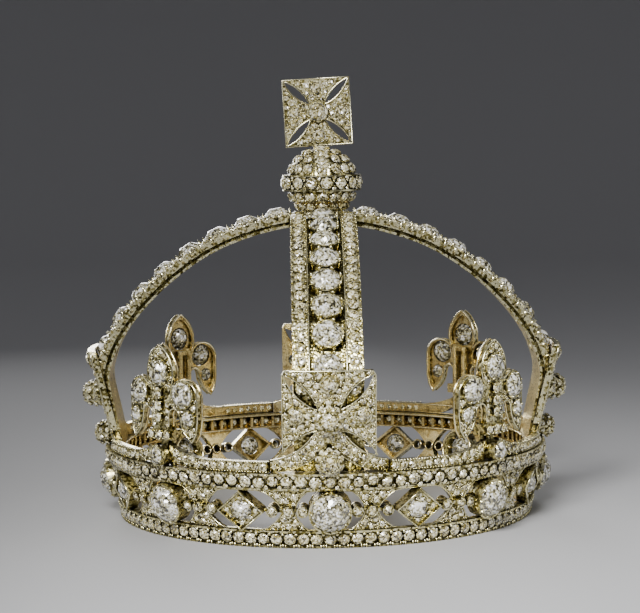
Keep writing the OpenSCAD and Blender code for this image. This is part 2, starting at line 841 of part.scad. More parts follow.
module belt_stones() color(diamond) {
  for (i = [0 : belt_count - 1]) around(belt_turn + (i + 0.5) * 360 / belt_count)
    translate([0, -belt_r + 0.1, orb_z]) rotate([90, 0, 0]) small_cut(belt_stone, belt_stone_depth);
}

// Stones of the band

module round_stones(k) color(diamond) {
  around(k * 45) on_wall(0) translate([0, 0, round_rim]) brilliant(round_stone);
}

module lozenge_stones(k) color(diamond) {
  around(bay + k * 45) on_wall(0) translate([0, 0, lozenge_rim - box_plate]) brilliant(lozenge_stone);
}

module base_stones() color(diamond) {
  z = base_row_h / 2;
  for (i = [0 : row_count - 1]) around(i * 360 / row_count)
    facing(0, z, rim_r(z) - row_sink, wall_tilt) small_cut(row_stone);
}

module upright_stones() color(diamond) {
  for (i = [0 : 2 : 14], s = [-1, 1]) around(i * bay + s * upright_turn)
    on_wall(0) translate([0, 0, upright_rim]) small_cut(small_stone);
}

band();
garland();
around(0) cross();  // cross_front
around(90) cross();  // cross_right
around(180) cross();  // cross_back
around(270) cross();  // cross_left
around(45) fleur();  // fleur_front_right
around(135) fleur();  // fleur_back_right
around(225) fleur();  // fleur_back_left
around(315) fleur();  // fleur_front_left
around(0) arch();  // arch_front
around(90) arch();  // arch_right
around(180) arch();  // arch_back
around(270) arch();  // arch_left
arch_boss();
orb();
orb_belt();
top_cross();
round_stones(0);  // round_stone_1
round_stones(1);  // round_stone_2
round_stones(2);  // round_stone_3
round_stones(3);  // round_stone_4
round_stones(4);  // round_stone_5
round_stones(5);  // round_stone_6
round_stones(6);  // round_stone_7
round_stones(7);  // round_stone_8
lozenge_stones(0);  // lozenge_stone_1
lozenge_stones(1);  // lozenge_stone_2
lozenge_stones(2);  // lozenge_stone_3
lozenge_stones(3);  // lozenge_stone_4
lozenge_stones(4);  // lozenge_stone_5
lozenge_stones(5);  // lozenge_stone_6
lozenge_stones(6);  // lozenge_stone_7
lozenge_stones(7);  // lozenge_stone_8
base_stones();
upright_stones();
around(0) cross_stones();  // cross_stones_front
around(90) cross_stones();  // cross_stones_right
around(180) cross_stones();  // cross_stones_back
around(270) cross_stones();  // cross_stones_left
around(45) fleur_stones();  // fleur_stones_front_right
around(135) fleur_stones();  // fleur_stones_back_right
around(225) fleur_stones();  // fleur_stones_back_left
around(315) fleur_stones();  // fleur_stones_front_left
around(0) arch_stones();  // arch_stones_front
around(90) arch_stones();  // arch_stones_right
around(180) arch_stones();  // arch_stones_back
around(270) arch_stones();  // arch_stones_left
belt_stones();
top_cross_stones();
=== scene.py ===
# %% [markdown]
# The crown arrives as exact solids: band, crosses, fleurs, arches, orb and the main stones. They are
# the frame that everything else is fitted to, so they are loaded first and never moved. What a
# jeweller adds last is made here: the small stones, the claws and beads that hold them, the bright
# wire rims, and the finish of every surface.

# %% Load the frame
import math
import random

import bmesh
import bpy
from mathutils import Matrix, Vector


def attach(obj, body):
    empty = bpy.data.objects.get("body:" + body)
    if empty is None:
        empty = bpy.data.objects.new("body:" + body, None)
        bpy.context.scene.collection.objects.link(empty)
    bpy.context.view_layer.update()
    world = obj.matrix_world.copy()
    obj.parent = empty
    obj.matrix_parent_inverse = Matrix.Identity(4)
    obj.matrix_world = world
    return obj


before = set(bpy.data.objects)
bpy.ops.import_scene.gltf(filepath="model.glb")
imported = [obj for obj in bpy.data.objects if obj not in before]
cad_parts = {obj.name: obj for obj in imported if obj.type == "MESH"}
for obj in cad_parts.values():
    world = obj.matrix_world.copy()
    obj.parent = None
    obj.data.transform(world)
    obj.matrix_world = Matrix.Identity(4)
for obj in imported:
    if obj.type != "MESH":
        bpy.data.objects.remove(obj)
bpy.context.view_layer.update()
MM = 0.001
print("nodes in the frame:", len(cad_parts))

# %% [markdown]
# The crown leans outward as it rises, so its walls are cones. A jeweller would hold each setting
# square to the wall; the same is done here with one matrix, which takes a thing drawn flat, with its
# face up, and stands it at a place on the wall. The sizes are the frame's own, in millimetres.

# %% Sizes of the band in millimetres
BAND_FOOT_R = 45.5
BAND_LEAN = 0.215
BAND_H = 15.7
RIM_STEP = 0.6
BASE_ROW_H = 3.6
TOP_ROW_H = 3.5
ROW_COUNT = 104
FRIEZE_LO = BASE_ROW_H
FRIEZE_HI = BAND_H - TOP_ROW_H
FRIEZE_MID = (FRIEZE_LO + FRIEZE_HI) / 2
FRIEZE_EDGE = 0.1
FRIEZE_HALF = (FRIEZE_HI - FRIEZE_LO) / 2 - FRIEZE_EDGE
WALL_TILT = math.degrees(math.atan(BAND_LEAN))


def rim_r(z):
    """Radius of the stone rows' rims at height z."""
    return BAND_FOOT_R + BAND_LEAN * z


def wall_r(z):
    """Radius of the frieze wall at height z."""
    return rim_r(z) - RIM_STEP


print(f"the wall leans {WALL_TILT:.1f} degrees and is {wall_r(FRIEZE_MID):.1f} mm out at mid height")


# %% Matrices that stand a piece on the crown
def turned(degrees):
    """Turns a thing made at the front round the crown, counter-clockwise from above."""
    return Matrix.Rotation(math.radians(degrees), 4, "Z")


def tipped(degrees, axis="X"):
    """Tips a thing about one of its own axes."""
    return Matrix.Rotation(math.radians(degrees), 4, axis)


def moved(x=0.0, y=0.0, z=0.0):
    """Moves a thing. A setting that faces up moves outward with z."""
    return Matrix.Translation((x, y, z))


def stretched(x, y, z):
    """Scales a template along its three axes."""
    return Matrix.Diagonal((x, y, z, 1))


def sized(scale, spin=0.0):
    """Scales a template and spins it about its own axis."""
    return turned(spin) @ Matrix.Scale(scale, 4)


def facing(x, z, r, lean=0.0):
    """Stands a thing at x across and z up, r from the axis, its face outward and leaning down."""
    return turned(math.degrees(math.asin(x / r))) @ moved(0, -r, z) @ tipped(90 + lean)


# %% [markdown]
# A crown carries well over a thousand small parts of few kinds: stones, beads, claws. Each kind is
# modelled once, as a template a few faces big, and then repeated along a list of places into one
# joined mesh. That keeps the file light and still gives every stone its own facets.

# %% Templates and joined rows
def shape(name, build):
    """A template mesh made by the steps in build, with its normals outward."""
    bm = bmesh.new()
    build(bm)
    bmesh.ops.recalc_face_normals(bm, faces=bm.faces)
    mesh = bpy.data.meshes.new(name)
    bm.to_mesh(mesh)
    bm.free()
    return mesh


def joined(name, parts, finish, smooth=False):
    """One piece from many (template, places) pairs, in millimetres, riding on the crown."""
    bm = bmesh.new()
    for template, places in parts:
        for place in places:
            first = len(bm.verts)
            bm.from_mesh(template)
            bm.verts.ensure_lookup_table()
            bmesh.ops.transform(bm, matrix=place, verts=bm.verts[first:])
    bmesh.ops.scale(bm, vec=(MM, MM, MM), verts=bm.verts)
    mesh = bpy.data.meshes.new(name)
    bm.to_mesh(mesh)
    bm.free()
    mesh.materials.append(finish)
    mesh.polygons.foreach_set("use_smooth", [smooth] * len(mesh.polygons))
    piece = bpy.data.objects.new(name, mesh)
    bpy.context.scene.collection.objects.link(piece)
    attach(piece, "root")
    mesh.calc_loop_triangles()
    print(f"{name}: {sum(len(p) for _, p in parts)} parts, {len(mesh.loop_triangles)} triangles")


# %% [markdown]
# Old-cut diamonds have a small flat table, a steep crown and a deep point below. Only the crown
# shows once the stone is set, so the template for a small stone is a cone cut off at the table, its
# top ring turned by half a facet. That splits each side into two triangles, and gives the sixteen
# crown facets that break up the light.

# %% Small stone, one millimetre across
STONE_SIDES = 8
CROWN = 0.19
TABLE = 0.27
POINT = 0.35


def build_stone(bm):
    bmesh.ops.create_cone(
        bm, cap_ends=True, segments=STONE_SIDES, radius1=0.5, radius2=TABLE, depth=CROWN
    )
    top = [v for v in bm.verts if v.co.z > 0]
    half_facet = Matrix.Rotation(math.radians(180 / STONE_SIDES), 3, "Z")
    bmesh.ops.rotate(bm, verts=top, matrix=half_facet)
    bmesh.ops.translate(bm, verts=bm.verts, vec=(0, 0, CROWN / 2))
    base = [f for f in bm.faces if f.normal.z < -0.9]
    point = bmesh.ops.poke(bm, faces=base)["verts"]
    bmesh.ops.translate(bm, verts=point, vec=(0, 0, -POINT))
    bmesh.ops.triangulate(bm, faces=[f for f in bm.faces if len(f.verts) == 4])


stone = shape("stone", build_stone)
print("facets of a small stone:", len(stone.polygons))

# %% [markdown]
# Grains are the tiny balls of silver raised with a graver and rolled over a stone's edge; they are
# what makes a paved field glitter between the stones. A claw is a tapered finger of metal with a
# rounded tip that leans against a larger stone. A coarse ball and a cone with a raised tip are
# enough for things this small.

# %% Grain and claw, one millimetre across
CLAW_TIP = 0.34
CLAW_CREST = 0.22


def build_grain(bm):
    bmesh.ops.create_icosphere(bm, subdivisions=1, radius=0.5)


def build_claw(bm):
    bmesh.ops.create_cone(bm, cap_ends=True, segments=6, radius1=0.5, radius2=CLAW_TIP, depth=1)
    tip = [f for f in bm.faces if f.normal.z > 0.9]
    bmesh.ops.poke(bm, faces=tip)
    crest = max(bm.verts, key=lambda v: v.co.z - v.co.xy.length)
    bmesh.ops.translate(bm, verts=[crest], vec=(0, 0, CLAW_CREST))
    bmesh.ops.translate(bm, verts=bm.verts, vec=(0, 0, 0.5))


grain = shape("grain", build_grain)
claw = shape("claw", build_claw)
print("faces of a grain and a claw:", len(grain.polygons), len(claw.polygons))

# %% [markdown]
# Every opening in the crown is edged with a fine bright line, the threaded rim that a jeweller cuts
# along the border of a setting. It is modelled as a wire: a small ring is set at each point of the
# path, and neighbouring rings are bridged. The wires are coloured lighter than the field, partly as
# burnished metal and partly as a painted highlight.

# %% Wire along a path
def wire(name, path, radius, closed=False, sides=6):
    """A wire template along points in millimetres."""
    count = len(path)

    def build_wire(bm):
        rings = []
        for i, here in enumerate(path):
            before = path[i - 1] if closed or i else here
            after = path[(i + 1) % count] if closed or i < count - 1 else here
            along = (after - before).normalized()
            place = Matrix.Translation(here) @ along.to_track_quat("Z", "Y").to_matrix().to_4x4()
            made = bmesh.ops.create_circle(bm, segments=sides, radius=radius, matrix=place)["verts"]
            rings.append({e for v in made for e in v.link_edges})
        pairs = list(zip(rings, rings[1:])) + ([(rings[-1], rings[0])] if closed else [])
        for low, high in pairs:
            bmesh.ops.bridge_loops(bm, edges=list(low | high))
        bmesh.ops.holes_fill(bm, edges=bm.edges, sides=sides)

    return shape(name, build_wire)


# %% [markdown]
# Colours are chosen as a screen shows them, in hex, and Blender wants linear light, so one function
# does the change. A second adds a shader node with its settings and its links in one line.

# %% Colour and node helpers
def linear(code):
    """Linear colour for an sRGB hex value."""
    parts = [int(code[i : i + 2], 16) / 255 for i in (1, 3, 5)]
    return [p / 12.92 if p <= 0.04045 else ((p + 0.055) / 1.055) ** 2.4 for p in parts] + [1.0]


def add(material, kind, settings=None, links=None, stops=()):
    """Adds a node of this kind, sets its sockets or options, its ramp's stops, and its links."""
    node = material.node_tree.nodes.new(kind)
    for name, value in (settings or {}).items():
        if isinstance(name, str) and hasattr(node, name):
            setattr(node, name, value)
        else:
            node.inputs[name].default_value = value
    for i, (place, code) in enumerate(stops):
        points = node.color_ramp.elements
        point = points[i] if i < 2 else points.new(place)
        point.position = place
        point.color = linear(code)
    for name, source in (links or {}).items():
        material.node_tree.links.new(source, node.inputs[name])
    return node


def new_material(name):
    """An empty material and its output node."""
    material = bpy.data.materials.new(name)
    material.use_nodes = True
    material.node_tree.nodes.clear()
    return material, add(material, "ShaderNodeOutputMaterial")


# %% [markdown]
# Sterling silver, cast, filed, and rubbed bright on its high edges. With the years it takes a warm
# olive skin in its hollows. Ambient occlusion darkens every hollow and a line round every stone,
# which is partly that skin and partly painted shade, and leaves the open metal pale cream. The backs
# are 18 carat gold, soldered to the silver so that it would not mark the hair. So the tone follows
# three things: how hidden a spot is, which paints shade as well as skin, a slow drift of the skin,
# and which way the face looks, outward silver or inward gold. Between the stones the real silver is
# raised in grains of about a third of a millimetre. That is too fine to model or to show, so they
# are a pattern of domes half a millimetre wide, each with a tone of its own.

# %% Silver with a gold back
# Each stop is how clean and how open a spot is, the dark end painted shade in hollows as well as skin, and
# its colour.
SILVER = [(0.02, "#0d0a04"), (0.15, "#4a421d"), (0.3, "#8a7f45"), (0.42, "#cabf80"), (0.56, "#fcf5c8")]
# Rims, claws and grains, lighter than the field: partly burnished metal, partly a painted highlight along
# the edges.
RIM = [(0.1, "#968b52"), (0.28, "#e2d89e"), (0.46, "#fffad4")]
BACK_GOLD = [(0.08, "#36260b"), (0.29, "#a98c45"), (0.46, "#fdebb0")]
# The same in gold: partly burnished metal, partly a painted highlight along the edges.
RIM_GOLD = [(0.1, "#846a2c"), (0.26, "#f2d88c"), (0.44, "#fff4c8")]
SKIN_PATCH = 1.6
FILE_MARK = 0.36
FILE_DEPTH = 0.05
# Reach of the ambient occlusion that darkens hollows: painted shade, partly the skin there.
SHADE_REACH = 1.8
GRAIN = 0.5
GRAIN_RISE = 0.16
HEAD_Z = 15
LOOKS_IN = (-0.25, -0.45)
LOOKS_OUT = (0.2, 0.5)
RUBBED = 0.08
DULLED = 0.12


def metal(name, tones, back_tones, rough, paved=0.0):
    """Metal with one set of tones on faces that look outward and another on those that look in.

    Outward is away from the middle of the head. Paved from 0 to 1 says how much of the outward face
    is covered with grains.
    """
    material, output = new_material(name)
    place = add(material, "ShaderNodeTexCoord")
    patches = add(
        material, "ShaderNodeTexNoise",
        {"Scale": 1 / (SKIN_PATCH * MM), "Detail": 3.0, "Roughness": 0.6},
        {"Vector": place.outputs["Object"]},
    )
    grains = add(
        material, "ShaderNodeTexVoronoi", {"Scale": 1 / (GRAIN * MM)}, {"Vector": place.outputs["Object"]}
    )
    chance = add(material, "ShaderNodeSeparateColor", {}, {0: grains.outputs["Color"]})
    shade = add(
        material, "ShaderNodeMix", {"data_type": "FLOAT", "Factor": paved},
        {2: patches.outputs["Fac"], 3: chance.outputs[0]},
    )
    # Ambient occlusion darkens hollows and the lines round stones: painted shade, partly the olive skin that
    # gathers there.
    hollow_shade = add(material, "ShaderNodeAmbientOcclusion", {"samples": 4, "Distance": SHADE_REACH * MM})
    skin_grain_and_hollow_shade, skin_and_hollow_shade = [
        add(material, "ShaderNodeMath", {"operation": "MULTIPLY"}, {0: source, 1: hollow_shade.outputs["AO"]})
        for source in (shade.outputs[0], patches.outputs["Fac"])
    ]
    front = add(material, "ShaderNodeValToRGB", {}, {0: skin_grain_and_hollow_shade.outputs[0]}, tones)
    back = add(material, "ShaderNodeValToRGB", {}, {0: skin_and_hollow_shade.outputs[0]}, back_tones)
    centre = add(
        material, "ShaderNodeVectorMath", {"operation": "SUBTRACT", 1: (0, 0, HEAD_Z * MM)},
        {0: place.outputs["Object"]},
    )
    away = add(material, "ShaderNodeVectorMath", {"operation": "NORMALIZE"}, {0: centre.outputs[0]})
    surface = add(material, "ShaderNodeNewGeometry")
    looks = add(
        material, "ShaderNodeVectorMath", {"operation": "DOT_PRODUCT"},
        {0: away.outputs[0], 1: surface.outputs["Normal"]},
    )
    inward = add(
        material, "ShaderNodeMapRange", {"From Min": LOOKS_IN[0], "From Max": LOOKS_IN[1]},
        {"Value": looks.outputs["Value"]},
    )
    tone = add(
        material, "ShaderNodeMix", {"data_type": "RGBA"},
        {"Factor": inward.outputs[0], 6: front.outputs["Color"], 7: back.outputs["Color"]},
    )
    marks = add(
        material, "ShaderNodeTexNoise", {"Scale": 1 / (FILE_MARK * MM), "Detail": 2.0},
        {"Vector": place.outputs["Object"]},
    )
    gloss = add(
        material, "ShaderNodeMapRange", {"To Min": rough - RUBBED, "To Max": rough + DULLED},
        {"Value": marks.outputs["Fac"]},
    )
    filed = add(
        material, "ShaderNodeBump", {"Strength": 0.3, "Distance": FILE_DEPTH * MM},
        {"Height": marks.outputs["Fac"]},
    )
    outward = add(
        material, "ShaderNodeMapRange",
        {"From Min": LOOKS_OUT[0], "From Max": LOOKS_OUT[1], "To Max": paved},
        {"Value": looks.outputs["Value"]},
    )
    domed = add(
        material, "ShaderNodeBump", {"Distance": GRAIN_RISE * MM, "invert": True},
        {"Strength": outward.outputs[0], "Height": grains.outputs["Distance"], "Normal": filed.outputs[0]},
    )
    shader = add(
        material, "ShaderNodeBsdfPrincipled", {"Metallic": 1.0},
        {"Base Color": tone.outputs[2], "Roughness": gloss.outputs[0], "Normal": domed.outputs[0]},
    )
    material.node_tree.links.new(shader.outputs[0], output.inputs["Surface"])
    return material


silver_paved = metal("silver_grain_set_gold_backed", SILVER, BACK_GOLD, 0.27, paved=0.75)
silver_bright = metal("silver_rim_burnished_and_painted_highlight", RIM, RIM_GOLD, 0.17)
gold = metal("gold_18_carat", BACK_GOLD, BACK_GOLD, 0.22)
gold_bright = metal("gold_rim_burnished_and_painted_highlight", RIM_GOLD, RIM_GOLD, 0.15)
print("metals:", [m.name for m in (silver_paved, silver_bright, gold, gold_bright)])

# %% [markdown]
# Diamond, cut by hand and polished. The eye doesn't see a diamond's surface so much as the patches of
# light and dark that its facets throw back, each patch with a crisp straight edge, warmed here by the
# metal round it. Real refraction in a thousand stones would take hours to clear of noise, so the
# patches are drawn: two sizes of Voronoi cell, flat in tone, under a hard polished surface with
# diamond's high index. The cells are about as big as the facets seen through the table, and each is
# tilted its own way, so that a table never flashes white as one flat mirror would.

# %% Diamond
# Sizes of the coarse and the fine patches on large stones and on small ones.
PATCH_LARGE = (0.75, 0.4)
PATCH_SMALL = (0.46, 0.28)
FINE_SHARE = 0.55
PATCH_RANGE = (0.15, 0.85)
FACET_TILT = 0.45
# Tones of the painted reflections that the facets throw back, from dark patches to white glints. The warm
# ones also paint the metal's reflection into the small stones.
WHITE_TONES = [
    (0.0, "#1f1c12"), (0.14, "#544e36"), (0.3, "#8f8866"), (0.48, "#c3bd98"), (0.62, "#e9e5cc"),
    (0.74, "#ffffff"),
]
WARM_TONES = [
    (0.0, "#1f1a0a"), (0.14, "#4f4520"), (0.3, "#8d8048"), (0.47, "#c2b67a"), (0.62, "#ece3ae"),
    (0.74, "#fffce4"),
]


def diamond(name, tones, patch_mm, fine_mm):
    """Polished diamond with painted facet reflections in patches of two sizes, each tilted its own way."""
    material, output = new_material(name)
    place = add(material, "ShaderNodeTexCoord")
    cells, fine = [
        add(
            material, "ShaderNodeTexVoronoi", {"Scale": 1 / (size * MM)},
            {"Vector": place.outputs["Object"]},
        )
        for size in (patch_mm, fine_mm)
    ]
    large_tone = add(material, "ShaderNodeSeparateColor", {}, {0: cells.outputs["Color"]})
    fine_tone = add(material, "ShaderNodeSeparateColor", {}, {0: fine.outputs["Color"]})
    mixed = add(
        material, "ShaderNodeMix", {"data_type": "FLOAT", "Factor": FINE_SHARE},
        {2: large_tone.outputs[0], 3: fine_tone.outputs[1]},
    )
    full_range = add(
        material, "ShaderNodeMapRange", {"From Min": PATCH_RANGE[0], "From Max": PATCH_RANGE[1]},
        {"Value": mixed.outputs[0]},
    )
    tone = add(material, "ShaderNodeValToRGB", {}, {0: full_range.outputs[0]}, tones)
    tone.color_ramp.interpolation = "CONSTANT"
    around = add(
        material, "ShaderNodeVectorMath", {"operation": "SUBTRACT", 1: (0.5, 0.5, 0.5)},
        {0: cells.outputs["Color"]},
    )
    tilt = add(
        material, "ShaderNodeVectorMath", {"operation": "SCALE", "Scale": FACET_TILT},
        {0: around.outputs[0]},
    )
    surface = add(material, "ShaderNodeNewGeometry")
    tilted = add(
        material, "ShaderNodeVectorMath", {"operation": "ADD"},
        {0: surface.outputs["Normal"], 1: tilt.outputs[0]},
    )
    facet = add(material, "ShaderNodeVectorMath", {"operation": "NORMALIZE"}, {0: tilted.outputs[0]})
    shader = add(
        material, "ShaderNodeBsdfPrincipled", {"Roughness": 0.04, "IOR": 2.42},
        {"Base Color": tone.outputs["Color"], "Normal": facet.outputs[0]},
    )
    material.node_tree.links.new(shader.outputs[0], output.inputs["Surface"])
    return material


diamond_large = diamond("diamond_old_cut", WHITE_TONES, *PATCH_LARGE)
diamond_small = diamond("diamond_small_cut", WARM_TONES, *PATCH_SMALL)
print("diamonds:", diamond_large.name, diamond_small.name)

# %% [markdown]
# The solids from the frame keep their shape and only take a finish. Every stone node gets diamond,
# the large ones with larger patches, and every metal node the silver that turns to gold behind. The
# pieces that follow come in three kinds, so each kind has a short function for its finish.

# %% Finish the frame's own pieces
LARGE_STONES = ("round_stone", "lozenge_stone", "arch_stones", "fleur_stones")
for name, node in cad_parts.items():
    if "stone" in name:
        finish = diamond_large if name.startswith(LARGE_STONES) else diamond_small
    else:
        finish = silver_paved
    node.data.materials.clear()
    node.data.materials.append(finish)
    node.data.polygons.foreach_set("use_smooth", [False] * len(node.data.polygons))
print("finished nodes:", len(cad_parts))


# %% Three kinds of new piece
def stone_work(name, places, finish=diamond_small):
    """One piece of small stones."""
    joined(name, [(stone, places)], finish)


def silver_work(name, *parts):
    """One piece of bright silver claws, grains or wires, given as (template, places) pairs."""
    joined(name, parts, silver_bright, smooth=True)


def gold_work(name, *parts):
    """One piece of bright gold wires, given as (template, places) pairs."""
    joined(name, parts, gold_bright, smooth=True)


# %% [markdown]
# The band carries two rows of stones. The lower row is in the frame; the upper one is set here, one
# stone beside the next, each a little different in size as old stones are, with small stones in the
# corners between them. Grains and small claws hold the lower row.

# %% Rows of the band
ROW_Z = BAND_H - TOP_ROW_H / 2
BASE_Z = BASE_ROW_H / 2
ROW_LIFT = 0.05
ROW_SIZES = (2.1, 2.8)
ROW_DRIFT = 0.2
CORNER_STEP = 1.15
CORNER_SIZES = (0.8, 1.15)
BASE_GRAIN_ZS = (BASE_Z - 1.2, BASE_Z + 1.15)
BASE_GRAIN = 0.75
TOOTH_X = 0.52
TOOTH_Z = 0.75
TOOTH_LIFT = 0.08
TOOTH = stretched(0.5, 0.5, 0.75)


def on_rim(z):
    """A place on the rows of stones, at the front."""
    return facing(0, z, rim_r(z) + ROW_LIFT, WALL_TILT)


pick = random.Random(11)
row_stones, row_grains, teeth = [], [], []
for i in range(ROW_COUNT):
    turn = turned(i * 360 / ROW_COUNT)
    between = turned((i + 0.5) * 360 / ROW_COUNT)
    size = pick.uniform(*ROW_SIZES)
    z = ROW_Z + pick.uniform(-ROW_DRIFT, ROW_DRIFT)
    row_stones.append(turn @ on_rim(z) @ sized(size, pick.uniform(0, 45)))
    for z in (ROW_Z - CORNER_STEP, ROW_Z + CORNER_STEP):
        row_stones.append(between @ on_rim(z) @ sized(pick.uniform(*CORNER_SIZES)))
    row_grains += [between @ on_rim(z) @ sized(BASE_GRAIN) for z in BASE_GRAIN_ZS]
    for x in (-TOOTH_X, TOOTH_X):
        teeth.append(between @ facing(x, TOOTH_Z, rim_r(0) + TOOTH_LIFT) @ tipped(90) @ TOOTH)
stone_work("upper_row_stones", row_stones)
silver_work("row_grains", (grain, row_grains), (claw, teeth))

# %% [markdown]
# The frieze is a wall pierced with pointed openings, sixteen of them. Each is edged with a wire that
# runs along the cone of the wall, so its path is worked out in the flat and every point is then laid
# on the wall at its own radius.

# %% Openings of the frieze
BAYS = 16
ROUND_GAP = 7.25
LOZENGE_GAP = 8.7
ROUND_OVAL = 5.6
LOZENGE_OVAL = 5.3
ARC_STEPS = 12
RIM_WIRE = 0.14
WIRE_LIFT = 0.05


def oval_arc(half_length, half_width, steps=ARC_STEPS):
    """Points of the upper arc of a pointed oval, from its left tip to its right one."""
    r = (half_length**2 + half_width**2) / (2 * half_width)
    reach = math.asin(half_length / r)
    angles = [reach * (2 * i / steps - 1) for i in range(steps + 1)]
    return [(r * math.sin(t), half_width - r + r * math.cos(t)) for t in angles]


def oval(half_length, half_width):
    """Points all round a pointed oval."""
    upper = oval_arc(half_length, half_width)
    return upper + [(x, -z) for x, z in reversed(upper[1:-1])]


def oval_between(p, q, half_width):
    """Points all round a pointed oval whose tips are p and q."""
    p, q = Vector(p), Vector(q)
    along = (q - p).normalized()
    across = Vector((-along.y, along.x))
    points = oval((q - p).length / 2, half_width)
    return [tuple((p + q) / 2 + along * u + across * v) for u, v in points]


def laid(points, radius_at, lift=0.0):
    """Flat points (x, z) laid on a wall whose radius at height z is radius_at(z)."""
    rows = [(x, z, radius_at(z) + lift) for x, z in points]
    return [Vector((x, -math.sqrt(r * r - x * x), z)) for x, z, r in rows]


def frieze_rim(gap, half_width):
    """Wire round one opening of the frieze: a pointed oval cut off level above and below."""
    cut = [(x, max(-FRIEZE_HALF, min(FRIEZE_HALF, z))) for x, z in oval(gap, half_width)]
    points = [(x, FRIEZE_MID + z) for x, z in cut]
    return wire("frieze_rim", laid(points, wall_r, WIRE_LIFT), RIM_WIRE, closed=True)


round_opening_rim = frieze_rim(ROUND_GAP, ROUND_OVAL)
lozenge_opening_rim = frieze_rim(LOZENGE_GAP, LOZENGE_OVAL)
BAY = 360 / BAYS
round_bays = [turned(i * BAY) for i in range(0, BAYS, 2)]
lozenge_bays = [turned(i * BAY) for i in range(1, BAYS, 2)]
print("bays with a round stone and with a lozenge:", len(round_bays), len(lozenge_bays))

# %% [markdown]
# A collet is the little tube that a stone sits in. The eight large round stones of the frieze are held
# by claws round the rim, the eight square boxes stand on their points with small stones in the
# corners, and a small collet with its stone lies at each end of every opening.

# %% Settings of the frieze
ROUND_RIM = 1.75
ROUND_CLAW_FOOT = ROUND_RIM - 1.3
LOZENGE_W = 5.2
LOZENGE_H = 4.4
LOZENGE_RIM = 1.2
LOZENGE_CLAW_FOOT = LOZENGE_RIM - 0.75
CORNER_FOOT = LOZENGE_RIM - 0.45
BOX_WIRE = 0.26
BOX_INSET = (0.3, 0.25)
SMALL_STONE = 1.7
SMALL_RIM = 0.9
ROUND_SIDE_X = 5.5
LOZENGE_SIDE_X = 6.5
# Across, up and size of the corner stones in one quarter of a box.
CORNER_STONES = [(3.25, 0, 1.25), (0, 2.75, 1.1), (2.15, 1.45, 0.85)]


def on_wall(x, z=FRIEZE_MID, rise=0.0):
    """A place on the frieze wall, x across, rise millimetres out from it."""
    return facing(x, z, wall_r(z), WALL_TILT) @ moved(z=rise)


def claws_round(place, count, radius, height, width, lean, turn=0.0):
    """Claws in a ring about a setting, each leaning in over its stone."""
    return [
        place @ turned(turn + i * 360 / count) @ moved(radius) @ tipped(-lean, "Y")
        @ stretched(width, width, height)
        for i in range(count)
    ]


def side_pair(bay, x):
    """The two small stones at the ends of an opening."""
    return [bay @ on_wall(s * x, rise=SMALL_RIM) @ sized(SMALL_STONE) for s in (-1, 1)]


small_stones, corner_stones, claws = [], [], []
for bay in round_bays:
    setting = bay @ on_wall(0, rise=ROUND_CLAW_FOOT)
    claws += claws_round(setting, count=10, radius=4.3, height=1.75, width=0.75, lean=16)
    small_stones += side_pair(bay, ROUND_SIDE_X)
for bay in lozenge_bays:
    setting = bay @ on_wall(0, rise=LOZENGE_CLAW_FOOT)
    claws += claws_round(setting, count=8, radius=2.45, height=0.75, width=0.5, lean=15, turn=22.5)
    small_stones += side_pair(bay, LOZENGE_SIDE_X)
    for x, z, size in CORNER_STONES:
        for sx in {x, -x}:
            for sz in {z, -z}:
                box = bay @ on_wall(0, rise=CORNER_FOOT)
                corner_stones.append(box @ moved(sx, sz) @ sized(size))
box_x, box_z = LOZENGE_W - BOX_INSET[0], LOZENGE_H - BOX_INSET[1]
box_path = [(box_x, 0), (0, box_z), (-box_x, 0), (0, -box_z)]
box_rim = wire("box_rim", [Vector((x, z, 0)) for x, z in box_path], BOX_WIRE, closed=True, sides=4)
box_rims = [bay @ on_wall(0, rise=LOZENGE_RIM) for bay in lozenge_bays]
silver_work(
    "frieze_rims", (round_opening_rim, round_bays), (lozenge_opening_rim, lozenge_bays), (box_rim, box_rims)
)
stone_work("frieze_small_stones", small_stones + corner_stones)

# %% [markdown]
# Paving fills a whole surface with stones set edge to edge. A setter starts along the borders and
# works inward with smaller and smaller stones. The same is done here: a function says how much room
# a spot has, spots near a border come first, and each stone must clear the ones already set. A
# margin of bare metal stays along each border. A stone is spun by an angle taken from its place,
# so that neighbours never flash alike, and its lift is how far its girdle stands out of the metal.

# %% Paving a field
def from_circle(x, z, cx, cz, r):
    """Distance outside a circle."""
    return math.hypot(x - cx, z - cz) - r


def from_oval(x, z, p, q, half_width):
    """Distance outside a pointed oval whose tips are p and q."""
    p, q = Vector(p), Vector(q)
    half_length = (q - p).length / 2
    along = (q - p).normalized()
    here = Vector((x, z)) - (p + q) / 2
    u, v = here.dot(along), here.dot(Vector((-along.y, along.x)))
    r = (half_length**2 + half_width**2) / (2 * half_width)
    drop = r - half_width
    return max(math.hypot(u, v + drop) - r, math.hypot(u, v - drop) - r)


def pave(room, low, high, sizes, step=0.22, gap=0.08):
    """Stones (x, z, size) packed into the field where room(x, z) is the distance to its border."""
    across = int((high[0] - low[0]) / step) + 1
    up = int((high[1] - low[1]) / step) + 1
    spots = [(low[0] + i * step, low[1] + k * step) for i in range(across) for k in range(up)]
    spots = [(room(x, z), x, z) for x, z in spots]
    stones = []
    for size in sizes:
        for _, x, z in sorted(s for s in spots if s[0] >= size / 2):
            if all(math.hypot(x - a, z - b) >= (size + d) / 2 + gap for a, b, d in stones):
                stones.append((x, z, size))
    return stones


def grains_beside(stones, seed, size=0.42, each=3, clear=0.06):
    """Places (x, z, size) of the grains at the edges of paved stones."""
    pick = random.Random(seed)
    found = []
    for x, z, d in stones:
        start = pick.uniform(0, 360)
        for i in range(each):
            a = math.radians(start + i * 360 / each)
            found.append((x + (d / 2 + clear) * math.cos(a), z + (d / 2 + clear) * math.sin(a), size))
    return found


